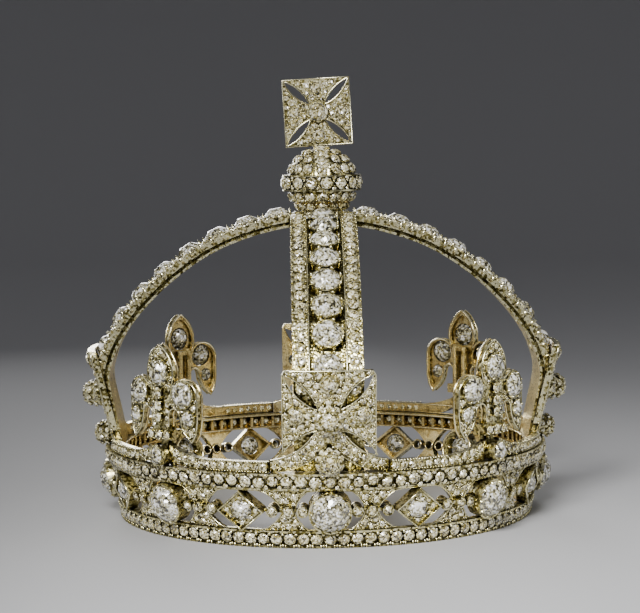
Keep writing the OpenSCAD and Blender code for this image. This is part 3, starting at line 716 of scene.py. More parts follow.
# %% [markdown]
# The uprights are what is left of the wall between two openings: a waisted field with a small
# collet in its middle. One is paved in the flat, and laid on the wall sixteen times, every other
# one as a mirror image, because a round bay and a lozenge bay differ in length.

# %% Uprights between the openings
SMALL_COLLET = 1.2
UPRIGHT_HALF = 1.15
UPRIGHT_CLAW_FOOT = 0.6
UPRIGHT_MARGIN = 0.15
UPRIGHT_STONE_LIFT = 0.12
UPRIGHT_GRAIN_LIFT = 0.1
UPRIGHT_SIZES = (1.7, 1.35, 1.0, 0.75, 0.55)
UPRIGHT_TURN = math.degrees((ROUND_GAP + UPRIGHT_HALF) / wall_r(FRIEZE_MID))
UPRIGHT_SPAN = math.radians(BAY) * wall_r(FRIEZE_MID)


def upright_room(x, z):
    """Room on an upright, x across from its collet: clear of the collet, both openings and the rows."""
    tips = (-UPRIGHT_HALF - 2 * ROUND_GAP, FRIEZE_MID), (-UPRIGHT_HALF, FRIEZE_MID)
    to_round = from_oval(x, z, *tips, ROUND_OVAL)
    near = UPRIGHT_SPAN - ROUND_GAP - UPRIGHT_HALF - LOZENGE_GAP
    tips = (near, FRIEZE_MID), (near + 2 * LOZENGE_GAP, FRIEZE_MID)
    to_lozenge = from_oval(x, z, *tips, LOZENGE_OVAL)
    shapes = min(to_round, to_lozenge, from_circle(x, z, 0, FRIEZE_MID, SMALL_COLLET)) - UPRIGHT_MARGIN
    return min(shapes, z - FRIEZE_LO - FRIEZE_EDGE, FRIEZE_HI - FRIEZE_EDGE - z)


upright_field = pave(upright_room, (-5, FRIEZE_LO), (5, FRIEZE_HI), UPRIGHT_SIZES)
upright_grains = grains_beside(upright_field, seed=3)
upright_stones, frieze_grains = [], []
for bay in round_bays:
    for s in (-1, 1):
        turn = bay @ turned(s * UPRIGHT_TURN)
        upright_stones += [
            turn @ on_wall(s * x, z, UPRIGHT_STONE_LIFT) @ sized(d, 17 * x) for x, z, d in upright_field
        ]
        frieze_grains += [
            turn @ on_wall(s * x, z, UPRIGHT_GRAIN_LIFT) @ sized(d) for x, z, d in upright_grains
        ]
        setting = turn @ on_wall(0, rise=UPRIGHT_CLAW_FOOT)
        claws += claws_round(setting, count=4, radius=1.0, height=0.7, width=0.42, lean=12, turn=45)
stone_work("upright_field_stones", upright_stones)
silver_work("frieze_grains", (grain, frieze_grains))
silver_work("frieze_claws", (claw, claws))

# %% [markdown]
# The garland is a narrow ribbon with one line of stones, and a millegrain edge: a row of beads rolled
# along its borders with a knurled wheel. It rises in two leaves under each fleur-de-lis. The leaves
# are paved like the uprights; stones and beads are counted out along the ribbon by its length.

# %% Garland
RIBBON_R = 48.2
RIBBON_LEAN = 0.04
RIBBON_H = 2.3
RIBBON_FOOT = 12
RIBBON_FOOT_R = 47.45
RIBBON_START = math.degrees(math.asin(RIBBON_FOOT / RIBBON_FOOT_R))
RIBBON_END = 30.0
RIBBON_STONE = 1.65
RIBBON_PITCH = 1.78
BEAD = 0.5
BEAD_PITCH = 0.62
BEAD_SINK = 0.05
BEAD_ZS = (BAND_H + 0.25, BAND_H + RIBBON_H - 0.05)
LEAF_RISE_R = 25
LEAF_TIP = 2.6
LEAF_ARCH_X = 8
LEAF_ARCH_RUN = 6
LEAF_ARCH_H = 2.4
LEAF_ARCH_CURVE = 1.6
LEAF_MARGIN = 0.12
LEAF_STONE_LIFT = 0.08
LEAF_GRAIN_LIFT = 0.05
LEAF_SIZES = (1.7, 1.3, 1.0, 0.8)
FOOT_COLLET_R = 2.2
FLEUR_FOOT_Z = 17.95


def ribbon_r(z):
    """Radius of the ribbon's face."""
    return RIBBON_R + RIBBON_LEAN * (z - BAND_H)


def ribbon_angle(i, count):
    """Degrees from the fleur's middle to the i-th of count things along the ribbon."""
    return RIBBON_START + (i + 0.5) * (RIBBON_END - RIBBON_START) / count


def leaf_top(x):
    """Height of a leaf's upper edge, x across from the fleur's middle."""
    centre = (RIBBON_FOOT + 0.5, BAND_H + RIBBON_H + LEAF_RISE_R)
    return centre[1] - math.sqrt(LEAF_RISE_R**2 - (centre[0] - x) ** 2)


def leaf_foot(x):
    """Height of a leaf's lower edge, which lies on the band and arches up towards its tip."""
    return BAND_H + 0.05 + max(0.0, (LEAF_ARCH_X - x) / LEAF_ARCH_RUN) ** LEAF_ARCH_CURVE * LEAF_ARCH_H


def leaf_room(x, z):
    """Room on a leaf."""
    return min(leaf_top(x) - z, z - leaf_foot(x), x - LEAF_TIP, RIBBON_FOOT + 0.4 - x) - LEAF_MARGIN


leaf_field = pave(leaf_room, (LEAF_TIP, BAND_H), (RIBBON_FOOT + 1, BAND_H + 5), LEAF_SIZES)
leaf_field = [s for s in leaf_field if from_circle(*s[:2], 0, FLEUR_FOOT_Z, FOOT_COLLET_R + s[2] / 2) > 0]
garland_stones, garland_grains = [], []
ribbon_run = math.radians(RIBBON_END - RIBBON_START) * RIBBON_R
ribbon_count = int(ribbon_run / RIBBON_PITCH)
bead_count = int(ribbon_run / BEAD_PITCH)
ribbon_mid = BAND_H + RIBBON_H / 2
on_ribbon = facing(0, ribbon_mid, ribbon_r(ribbon_mid) + LEAF_STONE_LIFT)
for corner in range(4):
    fleur_angle = 45 + 90 * corner
    for s in (-1, 1):
        middle = turned(fleur_angle)
        for x, z, d in leaf_field:
            place = middle @ facing(s * x, z, ribbon_r(z) + LEAF_STONE_LIFT)
            garland_stones.append(place @ sized(d, 20 * x))
        for x, z, d in grains_beside(leaf_field, seed=5):
            place = middle @ facing(s * x, z, ribbon_r(z) + LEAF_GRAIN_LIFT)
            garland_grains.append(place @ sized(d))
        for i in range(ribbon_count):
            turn = turned(fleur_angle + s * ribbon_angle(i, ribbon_count))
            garland_stones.append(turn @ on_ribbon @ sized(RIBBON_STONE, 31 * i))
        for i in range(bead_count):
            turn = turned(fleur_angle + s * ribbon_angle(i, bead_count))
            garland_grains += [
                turn @ facing(0, z, ribbon_r(z) - BEAD_SINK) @ sized(BEAD) for z in BEAD_ZS
            ]
stone_work("garland_stones", garland_stones)
silver_work("garland_grains", (grain, garland_grains))

# %% [markdown]
# Each large cross is a plate paved with stones, its four arms parted by pointed slits and its lower
# arm opened into two curved legs. A high collet stands in the middle. The paving and the wires are
# worked out once for the front cross, on its leaning face, and turned to the other three sides.

# %% Field of the large crosses
CROSS_W = 9.5
CROSS_TOP = 37
CROSS_MID = 26.9
CROSS_R = 46.8
CROSS_LEAN = 0.255
CROSS_TILT = math.degrees(math.atan(CROSS_LEAN))
CROSS_CORNER = 19.4
# Across, up, size of the stone and height of the collet.
CROSS_SETTINGS = [
    (0, CROSS_MID, 3.4, 3.7), (0, 34.4, 2.9, 0.9), (-6.7, 27.9, 2.9, 0.9), (6.7, 27.9, 2.9, 0.9),
    (0, 18, 3.2, 3.5),
]
ARM_WAIST = (2.1, 24.6)
ARM_RUN = 7.4
ARM_DROP = 5.2
# The two tips of a slit and half its width.
UPPER_SLIT = ((2.1, 28.8), (CROSS_W - 0.4, CROSS_TOP - 0.85), 1.2)
LOWER_SLIT = ((1.9, 24.65), (CROSS_W + 0.3, CROSS_CORNER - 0.2), 1.2)
# Middle and radius of the two curves of a leg.
LEG_OUTER = (12, 30.25, 14.45)
LEG_INNER = (13.5, 30.3, 12.2)
LEG_TOP = 24.5
LEG_MARGIN = 0.2
EDGE_MARGIN = 0.22
SLIT_MARGIN = 0.15
COLLET_WALL = 0.3
BOSS_FLARE = 0.25
FLARE_FROM = 1
PAVE_SIZES = (1.5, 1.2, 0.95, 0.75, 0.55)


def clear_of_settings(x, z, settings):
    """Distance outside the collets of a plate, which widen towards it where they stand high."""
    return min(
        from_circle(x, z, cx, cz, d / 2 + COLLET_WALL + max(rise - FLARE_FROM, 0) * BOSS_FLARE)
        for cx, cz, d, rise in settings
    )


def arm_room(x, z):
    """Room on the top and side arms."""
    side = abs(x)
    above = (z - ARM_WAIST[1]) * ARM_RUN + (side - ARM_WAIST[0]) * ARM_DROP
    edges = min(CROSS_W - side, CROSS_TOP - z, above / math.hypot(ARM_RUN, ARM_DROP))
    slits = min(from_oval(side, z, *UPPER_SLIT), from_oval(side, z, *LOWER_SLIT))
    return min(edges - EDGE_MARGIN, slits - SLIT_MARGIN, clear_of_settings(x, z, CROSS_SETTINGS))


def leg_room(x, z):
    """Room on the two curved legs."""
    side = abs(x)
    strip = min(-from_circle(side, z, *LEG_OUTER), from_circle(side, z, *LEG_INNER)) - LEG_MARGIN
    return min(strip, RIBBON_FOOT - LEG_MARGIN - side, clear_of_settings(x, z, CROSS_SETTINGS))


cross_field = pave(arm_room, (-CROSS_W, CROSS_CORNER), (CROSS_W, CROSS_TOP), PAVE_SIZES)
cross_field += pave(leg_room, (-RIBBON_FOOT, BAND_H), (RIBBON_FOOT, LEG_TOP), PAVE_SIZES)
print("stones that pave one cross:", len(cross_field))

# %% Wires of the large crosses
LEG_OUTER_SWEEP = (218, 270)
LEG_INNER_SWEEP = (214, 262)
WIRE_INSET = 0.1
ROUNDING = (0.7, 1)


def cross_face(z):
    """Radius of a cross's outer face at height z."""
    return CROSS_R + CROSS_LEAN * (z - BAND_H)


def arc(cx, cz, r, start, end, steps=16):
    """Points along a circle between two angles in degrees."""
    angles = [math.radians(start + (end - start) * i / steps) for i in range(steps + 1)]
    return [(cx + r * math.cos(a), cz + r * math.sin(a)) for a in angles]


def both_sides(points):
    """A path and its mirror image."""
    return [points, [(-x, z) for x, z in points]]


def even(points, step=1.2):
    """A path of straight lines cut into short steps, so that it can be laid on a round wall."""
    found = [points[0]]
    for (ax, az), (bx, bz) in zip(points, points[1:]):
        count = max(1, round(math.hypot(bx - ax, bz - az) / step))
        found += [(ax + (bx - ax) * i / count, az + (bz - az) * i / count) for i in range(1, count + 1)]
    return found


edge_x, edge_z = CROSS_W - WIRE_INSET, CROSS_TOP - WIRE_INSET
round_x, round_z = CROSS_W - ROUNDING[0], CROSS_TOP - ROUNDING[1]
outline = even([
    (-edge_x, CROSS_CORNER), (-edge_x, round_z), (-round_x, edge_z),
    (round_x, edge_z), (edge_x, round_z), (edge_x, CROSS_CORNER),
])
cross_paths = [(outline, False)]
cross_paths += [(p, True) for slit in (UPPER_SLIT, LOWER_SLIT) for p in both_sides(oval_between(*slit))]
cross_paths += [(p, False) for p in both_sides(arc(*LEG_OUTER, *LEG_OUTER_SWEEP))]
cross_paths += [(p, False) for p in both_sides(arc(*LEG_INNER, *LEG_INNER_SWEEP))]
cross_wires = [
    wire("cross_wire", laid(p, cross_face, WIRE_LIFT), RIM_WIRE, closed) for p, closed in cross_paths
]
print("wires of one cross:", len(cross_wires))

# %% Stones and claws of the large crosses
HIGH_COLLET = 2
# Number, height and width of the claws round a collet.
HIGH_CLAWS = (8, 1.0, 0.5)
LOW_CLAWS = (6, 0.8, 0.4)
CROSS_CLAW_SINK = 0.7
CROSS_STONE_LIFT = 0.1
CROSS_GRAIN_LIFT = 0.08
# Distance below the rim, size and number of the stones on a high collet's flank.
BOSS_ROWS = [(1.0, 1.5, 8), (2.3, 1.3, 10)]
BOSS_TILT = 55


def on_cross(x, z, rise, tilt=CROSS_TILT):
    """A place on the front cross, rise millimetres out from its face."""
    return facing(x, z, cross_face(z), tilt) @ moved(z=rise)


def boss_row(place, radius, level, size, count):
    """Stones in a ring on the flank of a high collet, level millimetres below its rim."""
    reach = radius + 0.5 + BOSS_FLARE * level
    return [
        place @ turned((i + 0.5) * 360 / count) @ moved(reach) @ tipped(BOSS_TILT, "Y") @ sized(size, 30 * i)
        for i in range(count)
    ]


cross_turns = [turned(90 * i) for i in range(4)]
cross_stones, cross_grains, cross_claws = [], [], []
for turn in cross_turns:
    for x, z, d in cross_field:
        cross_stones.append(turn @ on_cross(x, z, CROSS_STONE_LIFT) @ sized(d, 23 * x + 7 * z))
    for x, z, d in grains_beside(cross_field, seed=7):
        cross_grains.append(turn @ on_cross(x, z, CROSS_GRAIN_LIFT) @ sized(d))
    for x, z, d, rise in CROSS_SETTINGS:
        stands_high = rise > HIGH_COLLET
        tilt = 0 if stands_high else CROSS_TILT
        count, height, width = HIGH_CLAWS if stands_high else LOW_CLAWS
        setting = turn @ on_cross(x, z, rise - CROSS_CLAW_SINK, tilt)
        cross_claws += claws_round(setting, count, d / 2 + 0.26, height, width, lean=14, turn=22.5)
        if stands_high:
            for level, size, number in BOSS_ROWS:
                ring = turn @ on_cross(x, z, rise - level, tilt)
                cross_stones += boss_row(ring, d / 2, level, size, number)
stone_work("cross_field_stones", cross_stones)
silver_work("cross_grains", (grain, cross_grains), (claw, cross_claws))
silver_work("cross_rims", *[(w, cross_turns) for w in cross_wires])

# %% [markdown]
# A fleur-de-lis is three petals on a stem, cut from plate, each petal with a large stone and small
# ones round it. The stem stands proud in front of the plate. A wire follows the whole outline of a
# side petal, over the small round-headed opening beside the stem, and again behind in gold, where
# the plate is open and the large stones show their points.

# %% Petals and wires of the fleurs-de-lis
FLEUR_R = 48.9
FLEUR_T = 1.2
FLEUR_TOP = 41
TIP_HALF = 6.1
TIP_WIDE = 3.85
# The two tips of the upper petal and half its width.
TIP_PETAL = ((0, FLEUR_TOP - 2 * TIP_HALF), (0, FLEUR_TOP), TIP_WIDE)
# Middle and radius of the round head of a side petal, and of the opening beside the stem.
PETAL = (6.5, 30.3, 3.6)
PETAL_OPENING = (4.05, 26.4, 1.55)
LEG_OUT = 2.5
LEG_FOOT_Z = 23.6
# Corners of the pointed tail below the head of a side petal.
TAIL = [
    (5.6, 30.3), (5.6, 26.4), (5.9, 24.8), (6.8, 23), (8.7, 21.2), (9.7, 23), (10.1, 25.6), (10.1, 30.3),
]
# Across, up, size of the stone and height of the collet.
FLEUR_SETTINGS = [
    (0, 35.3, 5.2, 0.5), (-6.5, 30.9, 5.2, 0.5), (6.5, 30.9, 5.2, 0.5),
    (-7.9, 26.0, 3.0, 0.4), (7.9, 26.0, 3.0, 0.4), (0, FLEUR_FOOT_Z, 3.4, 1.6),
]
FLEUR_SIZES = (1.4, 1.1, 0.85, 0.6)
FLEUR_MARGIN = 0.2
STEM_MARGIN = 0.3
TIP_FOOT_Z = 32
FLEUR_WIRE = 0.19
BACK_RIM = 0.3


def fleur_face(z):
    """Radius of a fleur's plate, which stands upright."""
    return FLEUR_R


def fleur_back(z):
    """Radius of the back of a fleur's plate."""
    return FLEUR_R - FLEUR_T - 0.05


def inside(x, z, corners):
    """Distance inside a convex outline whose corners run counter-clockwise."""
    found = []
    for (ax, az), (bx, bz) in zip(corners, corners[1:] + corners[:1]):
        found.append(((bx - ax) * (z - az) - (bz - az) * (x - ax)) / math.hypot(bx - ax, bz - az))
    return min(found)


def fleur_room(x, z):
    """Room on a fleur's petals."""
    side = abs(x)
    shapes = max(-from_circle(side, z, *PETAL), inside(side, z, TAIL), -from_oval(x, z, *TIP_PETAL))
    beside_stem = max(side - LEG_OUT - STEM_MARGIN, z - TIP_FOOT_Z)
    return min(shapes - FLEUR_MARGIN, clear_of_settings(x, z, FLEUR_SETTINGS), beside_stem)


fleur_field = pave(fleur_room, (-10.5, 21), (10.5, FLEUR_TOP), FLEUR_SIZES)
print("stones round the petals of one fleur:", len(fleur_field))
stem_side = even([(LEG_OUT, LEG_FOOT_Z), (LEG_OUT, PETAL_OPENING[1])])
petal_path = stem_side + arc(*PETAL_OPENING, 170, 10, 8) + even(TAIL[1:]) + arc(*PETAL, 8, 150)
tip_side = [(v, FLEUR_TOP - TIP_HALF + u) for u, v in oval_arc(TIP_HALF, TIP_WIDE, 20)][6:]
tip_path = tip_side + [(-x, z) for x, z in reversed(tip_side[:-1])]
fleur_paths = both_sides(petal_path) + [tip_path]
fleur_wires = [wire("fleur_wire", laid(p, fleur_face, WIRE_LIFT), FLEUR_WIRE) for p in fleur_paths]
fleur_backs = [wire("fleur_back_wire", laid(p, fleur_back), BACK_RIM) for p in fleur_paths]

# %% Stones and claws of the fleurs-de-lis
# Across, up and size of the stones on the stem and its bar, and of those down its legs.
STEM_STONES = [
    (0, 31.0, 2.5), (0, 28.4, 2.3), (0, 26.0, 2.1), (-2.35, 22.35, 1.9), (0, 22.35, 2.3), (2.35, 22.35, 1.9),
]
LEG_STONES = [(2.1, z, 1.15) for z in (24.4, 25.8, 27.2, 28.6)]
STEM_RISE = 0.75
FLEUR_STONE_LIFT = 0.1
FLEUR_GRAIN_LIFT = 0.08
LEG_STONE_LIFT = 0.12
FLEUR_CLAW_SINK = 0.9
STEM_CLAW_SINK = 0.1
BACK_STONE = 0.93
BACK_SINK = 0.55
BACK_POINT = 1.2
LARGE_SETTING = 4


def on_fleur(x, z, rise):
    """A place on the front of a fleur made at the front, rise millimetres out from its face."""
    return facing(x, z, FLEUR_R + rise)


fleur_turns = [turned(45 + 90 * i) for i in range(4)]
fleur_stones, fleur_grains, fleur_claws = [], [], []
for turn in fleur_turns:
    for x, z, d in fleur_field:
        fleur_stones.append(turn @ on_fleur(x, z, FLEUR_STONE_LIFT) @ sized(d, 19 * x + z))
    for x, z, d in grains_beside(fleur_field, seed=9):
        fleur_grains.append(turn @ on_fleur(x, z, FLEUR_GRAIN_LIFT) @ sized(d))
    for x, z, d in STEM_STONES:
        fleur_stones.append(turn @ on_fleur(x, z, STEM_RISE) @ sized(d, 13 * z))
        setting = turn @ on_fleur(x, z, -STEM_CLAW_SINK)
        fleur_claws += claws_round(setting, 4, d / 2 - 0.05, height=1.15, width=0.5, lean=0, turn=45)
    for x, z, d in LEG_STONES:
        for side in (-x, x):
            fleur_stones.append(turn @ on_fleur(side, z, LEG_STONE_LIFT) @ sized(d, 11 * z))
    for x, z, d, rise in FLEUR_SETTINGS:
        count = 8 if d > LARGE_SETTING else 6
        setting = turn @ on_fleur(x, z, rise - FLEUR_CLAW_SINK)
        fleur_claws += claws_round(setting, count, d / 2 + 0.28, height=1.25, width=0.6, lean=15, turn=22.5)
back_stones = [
    turn @ facing(x, z, FLEUR_R - FLEUR_T + BACK_SINK) @ tipped(180)
    @ stretched(BACK_STONE * d, BACK_STONE * d, BACK_POINT * d)
    for turn in fleur_turns for x, z, d, rise in FLEUR_SETTINGS[:5]
]
stone_work("fleur_field_stones", fleur_stones)
stone_work("fleur_stone_backs", back_stones, diamond_large)
silver_work("fleur_claws", (grain, fleur_grains), (claw, fleur_claws))
silver_work("fleur_rims", *[(w, fleur_turns) for w in fleur_wires])
gold_work("fleur_back_rims", *[(w, fleur_turns) for w in fleur_backs])

# %% [markdown]
# An arch is a strip bent to a smooth curve, with a rail of stones along each side and a line of large
# stones in high collets between them. The curve is given by a few points of its underside; a thing
# is stood on it at its distance along the curve, square to it.

# %% Arch curve
# Radius and height of the arch's underside, from the middle of the crown down to the band.
ARCH_LINE = [
    (0, 64.0), (7.15, 63.5), (15.5, 61.6), (24.2, 58.1), (32.8, 52.3), (40.3, 45.0), (44.9, 38.6),
    (46.9, 33.6), (47.4, 30.4), (46.8, 26.8), (46.0, 23.2), (45.2, 19.2), (44.55, 15.7), (44.4, 14.8),
]
ARCH_STEPS = 4
LEVEL_REACH = 0.8


def smooth_through(points, steps):
    """Points of a smooth curve through a few given ones."""
    rows = [Vector(p) for p in points]
    found = []
    for i in range(len(rows) - 1):
        a, b, c, d = rows[max(i - 1, 0)], rows[i], rows[i + 1], rows[min(i + 2, len(rows) - 1)]
        bend = 2 * a - 5 * b + 4 * c - d
        twist = 3 * b - a - 3 * c + d
        for k in range(steps):
            t = k / steps
            found.append(0.5 * (2 * b + (c - a) * t + bend * t**2 + twist * t**3))
    return found + [rows[-1]]


arch_curve = smooth_through(ARCH_LINE, ARCH_STEPS)
arch_runs = [0.0]
for a, b in zip(arch_curve, arch_curve[1:]):
    arch_runs.append(arch_runs[-1] + (b - a).length)


def arch_point(run):
    """Radius and height of the underside at a distance along the arch."""
    i = max(k for k in range(len(arch_curve) - 1) if arch_runs[k] <= run)
    step = (arch_curve[i + 1] - arch_curve[i]).normalized()
    return arch_curve[i] + step * (run - arch_runs[i])


def on_arch(run, x=0.0, rise=0.0):
    """A place on an arch: distance along it, across it, and up from its underside."""
    step = arch_point(run + LEVEL_REACH) - arch_point(run - LEVEL_REACH)
    here = arch_point(run)
    lean = Matrix.Rotation(-math.atan2(step.y, step.x), 4, "X")
    return moved(0, -here.x, here.y) @ lean @ moved(x, 0, rise)


print("length of an arch's underside in mm:", round(arch_runs[-1], 1))

# %% Stones and claws of the arches
ARCH_W = 14.2
ARCH_PITCH = 6.7
ARCH_COUNT = 8
FIRST_STONE = 9.6
COLLET_R = 3.02
COLLET_FOOT = 1.0
COLLET_LEAN = 6
COLLET_CLAW = (0.7, 1.15, 2.35)
RAIL_W = 3.4
RAIL_H = 2.6
RAIL_X = (ARCH_W - RAIL_W) / 2 + 0.05
RAIL_STONE_LIFT = 0.1
RAIL_CLAW_LIFT = 0.25
RAIL_FIRST = 7.9
RAIL_LAST = 61.0
RAIL_PITCH = 2.5
RAIL_SIZES = (2.15, 2.5)
RAIL_CLAW = (0.5, 0.75)
# Across and height of the claws on the outer and the inner edge of a rail.
RAIL_CLAWS = [(ARCH_W / 2 - 0.1, 1.35), (ARCH_W / 2 - RAIL_W + 0.45, 0.5)]
RAIL_EDGE_X = ARCH_W / 2 - RAIL_W + 0.1
EDGE_WIRE = 0.17
EDGE_STEP = 1.2
EDGE_STEPS = 46
rail_count = int((RAIL_LAST - RAIL_FIRST) / RAIL_PITCH) + 1
pick = random.Random(21)
rail_stones, rail_claws, collet_claws = [], [], []
for turn in cross_turns:
    for s in (-1, 1):
        for i in range(rail_count):
            run = RAIL_FIRST + i * RAIL_PITCH
            place = turn @ on_arch(run, s * RAIL_X, RAIL_H + RAIL_STONE_LIFT)
            rail_stones.append(place @ sized(pick.uniform(*RAIL_SIZES), pick.uniform(0, 45)))
            between = run + RAIL_PITCH / 2
            for x, high in RAIL_CLAWS:
                place = turn @ on_arch(between, s * x, RAIL_H + RAIL_CLAW_LIFT - high)
                rail_claws.append(place @ stretched(*RAIL_CLAW, high))
    for k in range(ARCH_COUNT):
        place = turn @ on_arch(FIRST_STONE + k * ARCH_PITCH, 0, COLLET_FOOT)
        collet_claws += [
            place @ turned(22.5 + 45 * i) @ moved(COLLET_R) @ tipped(COLLET_LEAN, "Y")
            @ stretched(*COLLET_CLAW)
            for i in range(8)
        ]


def rail_edge(x):
    """Wire along the inner edge of a rail, x across."""
    places = [on_arch(RAIL_FIRST - 1 + i * EDGE_STEP, x, RAIL_H) for i in range(EDGE_STEPS)]
    return wire("rail_edge", [place.to_translation() for place in places], EDGE_WIRE)


rail_edges = [rail_edge(-RAIL_EDGE_X), rail_edge(RAIL_EDGE_X)]
stone_work("rail_stones", rail_stones)
silver_work("rail_claws", (claw, rail_claws))
silver_work("arch_collet_claws", (claw, collet_claws))
silver_work("arch_edges", *[(w, cross_turns) for w in rail_edges])

# %% [markdown]
# The orb is paved in rows like the lines of latitude on a globe, split by the belt and by the hoop
# that runs over the top. Each row has as many stones as fit round it. The rows of the upper half
# start beside the hoop, whose own stones lie in a line with a small one at either side between them.

# %% Orb
ORB_Z = 73
ORB_R = 7.55
# Degrees up from the orb's middle and size of the stones in a row.
ORB_ROWS = [(24.5, 2.55), (44, 2.4), (62, 2.1), (-24.5, 2.5), (-43.5, 2.3), (-60, 1.9)]
ORB_GAP = 0.1
ORB_GRAIN = 0.55
ORB_GRAIN_UP = 5.5
ORB_STONE_LIFT = 0.12
ORB_GRAIN_LIFT = 0.1
HOOP_HALF = 1.75
HOOP_R = 7.95
# Degrees up and size of the stones on the hoop.
HOOP_STONES = [(20, 2.6), (38, 2.3), (55.5, 2.8), (73, 2.0)]
HOOP_LIFT = 0.05
HOOP_SIDE = 1.15
HOOP_SIDE_UP = 9
HOOP_SIDE_LIFT = 0.03
BELT_R = 8.6
BELT_H = 3.5
BELT_CORNER = BELT_H / 2 - 0.6
BELT_GRAIN = 0.5
BELT_COUNT = 16
BELT_TURN = -5
CORNER_STONE = 0.95


def on_ball(across, up, r):
    """A place on a ball about the orb's centre, its face outward."""
    a, b = math.radians(across), math.radians(up)
    way = Vector((math.sin(a) * math.cos(b), -math.cos(a) * math.cos(b), math.sin(b)))
    return moved(*(Vector((0, 0, ORB_Z)) + way * r)) @ way.to_track_quat("Z", "Y").to_matrix().to_4x4()


orb_stones, orb_grains = [], []
for up, size in ORB_ROWS:
    girth = ORB_R * math.cos(math.radians(up))
    start = math.degrees(math.asin((HOOP_HALF + size / 2) / girth)) if up > 0 else 0
    count = round(math.radians(180 - 2 * start) * girth / (size + ORB_GAP))
    for side in (0, 180):
        for i in range(count + 1):
            across = side + start + i * (180 - 2 * start) / count
            orb_stones.append(on_ball(across, up, ORB_R + ORB_STONE_LIFT) @ sized(size, 17 * i))
            for rise in (-ORB_GRAIN_UP, ORB_GRAIN_UP):
                place = on_ball(across + 90 / count, up + rise, ORB_R + ORB_GRAIN_LIFT)
                orb_grains.append(place @ sized(ORB_GRAIN))
for turn in (turned(0), turned(180)):
    for up, size in HOOP_STONES:
        orb_stones.append(turn @ on_ball(0, up, HOOP_R + HOOP_LIFT) @ sized(size, up))
        for x in (-HOOP_SIDE, HOOP_SIDE):
            beside = turn @ on_ball(0, up + HOOP_SIDE_UP, HOOP_R + HOOP_SIDE_LIFT) @ moved(x)
            orb_stones.append(beside @ sized(CORNER_STONE, up))
belt_grains = []
for i in range(BELT_COUNT):
    turn = turned(BELT_TURN + i * 360 / BELT_COUNT)
    for up in (-BELT_CORNER, BELT_CORNER):
        orb_stones.append(turn @ facing(0, ORB_Z + up, BELT_R) @ sized(CORNER_STONE, 20 * i))
        belt_grains.append(turn @ facing(0, ORB_Z + up / 2, BELT_R) @ sized(BELT_GRAIN))
stone_work("orb_field_stones", orb_stones)
silver_work("orb_grains", (grain, orb_grains + belt_grains))

# %% [markdown]
# The cross on top is a smaller plate of the same kind, flat, and leaning a little to one side, as the
# real one does. It is laid out upright and then turned about the orb's centre with its solid.

# %% Top cross
TOP_W = 14.9
TOP_Z = 88.6
TOP_TILT = 2.8
TOP_FACE = 0.65
# Distance of a slit's two tips from the middle, and half its width.
TOP_SLIT = (2.2, TOP_W / math.sqrt(2) - 0.4, 0.9)
# Across, up, size of the stone and height of the collet.
TOP_SETTINGS = [(0, 0, 3.8, 1), (0, 5.3, 2.5, 0), (-5.3, 0, 2.6, 0), (5.3, 0, 2.6, 0), (0, -5.3, 2.8, 0)]
TOP_SIZES = (1.75, 1.4, 1.15, 0.85)
TOP_STEP = 0.15
TOP_MARGIN = 0.3
TOP_SLIT_MARGIN = 0.2
TOP_COLLET_LAP = 0.25
TOP_LIFT = 0.05
top_frame = moved(z=ORB_Z) @ tipped(-TOP_TILT, "Y") @ moved(z=TOP_Z - ORB_Z)


def slit_tips(quarter):
    """Tips of one of the four slits, which lie on the diagonals."""
    a = math.radians(45 + 90 * quarter)
    return [(r * math.cos(a), r * math.sin(a)) for r in TOP_SLIT[:2]]


def top_room(x, z):
    """Room on the top cross."""
    edge = TOP_W / 2 - TOP_MARGIN - max(abs(x), abs(z))
    slits = min(from_oval(x, z, *slit_tips(k), TOP_SLIT[2]) for k in range(4))
    collets = clear_of_settings(x, z, TOP_SETTINGS) + TOP_COLLET_LAP
    return min(edge, slits - TOP_SLIT_MARGIN, collets)


def on_top(x, z, rise=0.0):
    """A place on the front of the top cross."""
    return top_frame @ moved(x, -TOP_FACE - rise, z) @ tipped(90)


top_field = pave(top_room, (-7.5, -7.5), (7.5, 7.5), TOP_SIZES, TOP_STEP)
half = TOP_W / 2 - WIRE_INSET
square = [(-half, -half), (half, -half), (half, half), (-half, half)]
top_paths = [square] + [oval_between(*slit_tips(k), TOP_SLIT[2]) for k in range(4)]
top_wires = [
    wire("top_wire", [Vector((x, -TOP_FACE, z)) for x, z in p], FLEUR_WIRE, closed=True) for p in top_paths
]
top_stones = [on_top(x, z, TOP_LIFT) @ sized(d, 31 * x) for x, z, d in top_field]
top_grains = [on_top(x, z, TOP_LIFT) @ sized(d) for x, z, d in grains_beside(top_field, seed=13)]
top_claws = claws_round(on_top(0, 0, 0.35), 8, radius=2.2, height=0.9, width=0.5, lean=12, turn=22.5)
for x, z, size, _ in TOP_SETTINGS[1:]:
    setting = on_top(x, z, -0.3)
    top_claws += claws_round(setting, 6, size / 2 + 0.12, height=0.55, width=0.45, lean=10, turn=15)
stone_work("top_field_stones", top_stones)
silver_work("top_grains", (grain, top_grains), (claw, top_claws))
silver_work("top_rims", *[(w, [top_frame]) for w in top_wires])

# %% [markdown]
# Seen from inside, the band is gold: behind the upper row a line of windows lets light reach the
# stones, and a ring marks the back of every collet. The bars between the windows and the points of
# the stones are made as more repeated templates.

# %% Inside of the band
WINDOW_EDGE = 0.45
WINDOW_LO = FRIEZE_HI + WINDOW_EDGE
WINDOW_HI = BAND_H - WINDOW_EDGE
WINDOW_Z = (WINDOW_LO + WINDOW_HI) / 2
BAR_R = 45.6
BAR = stretched(0.8, 1.5, WINDOW_HI - WINDOW_LO - 0.02)
ROW_POINT_R = 46.35
ROW_POINT = tipped(-90) @ stretched(1.6, 1.9, 2.2)
BACK_RISE = -1.5
LARGE_RING = (4.2, 0.3)
SMALL_RING = (1.05, 0.2)


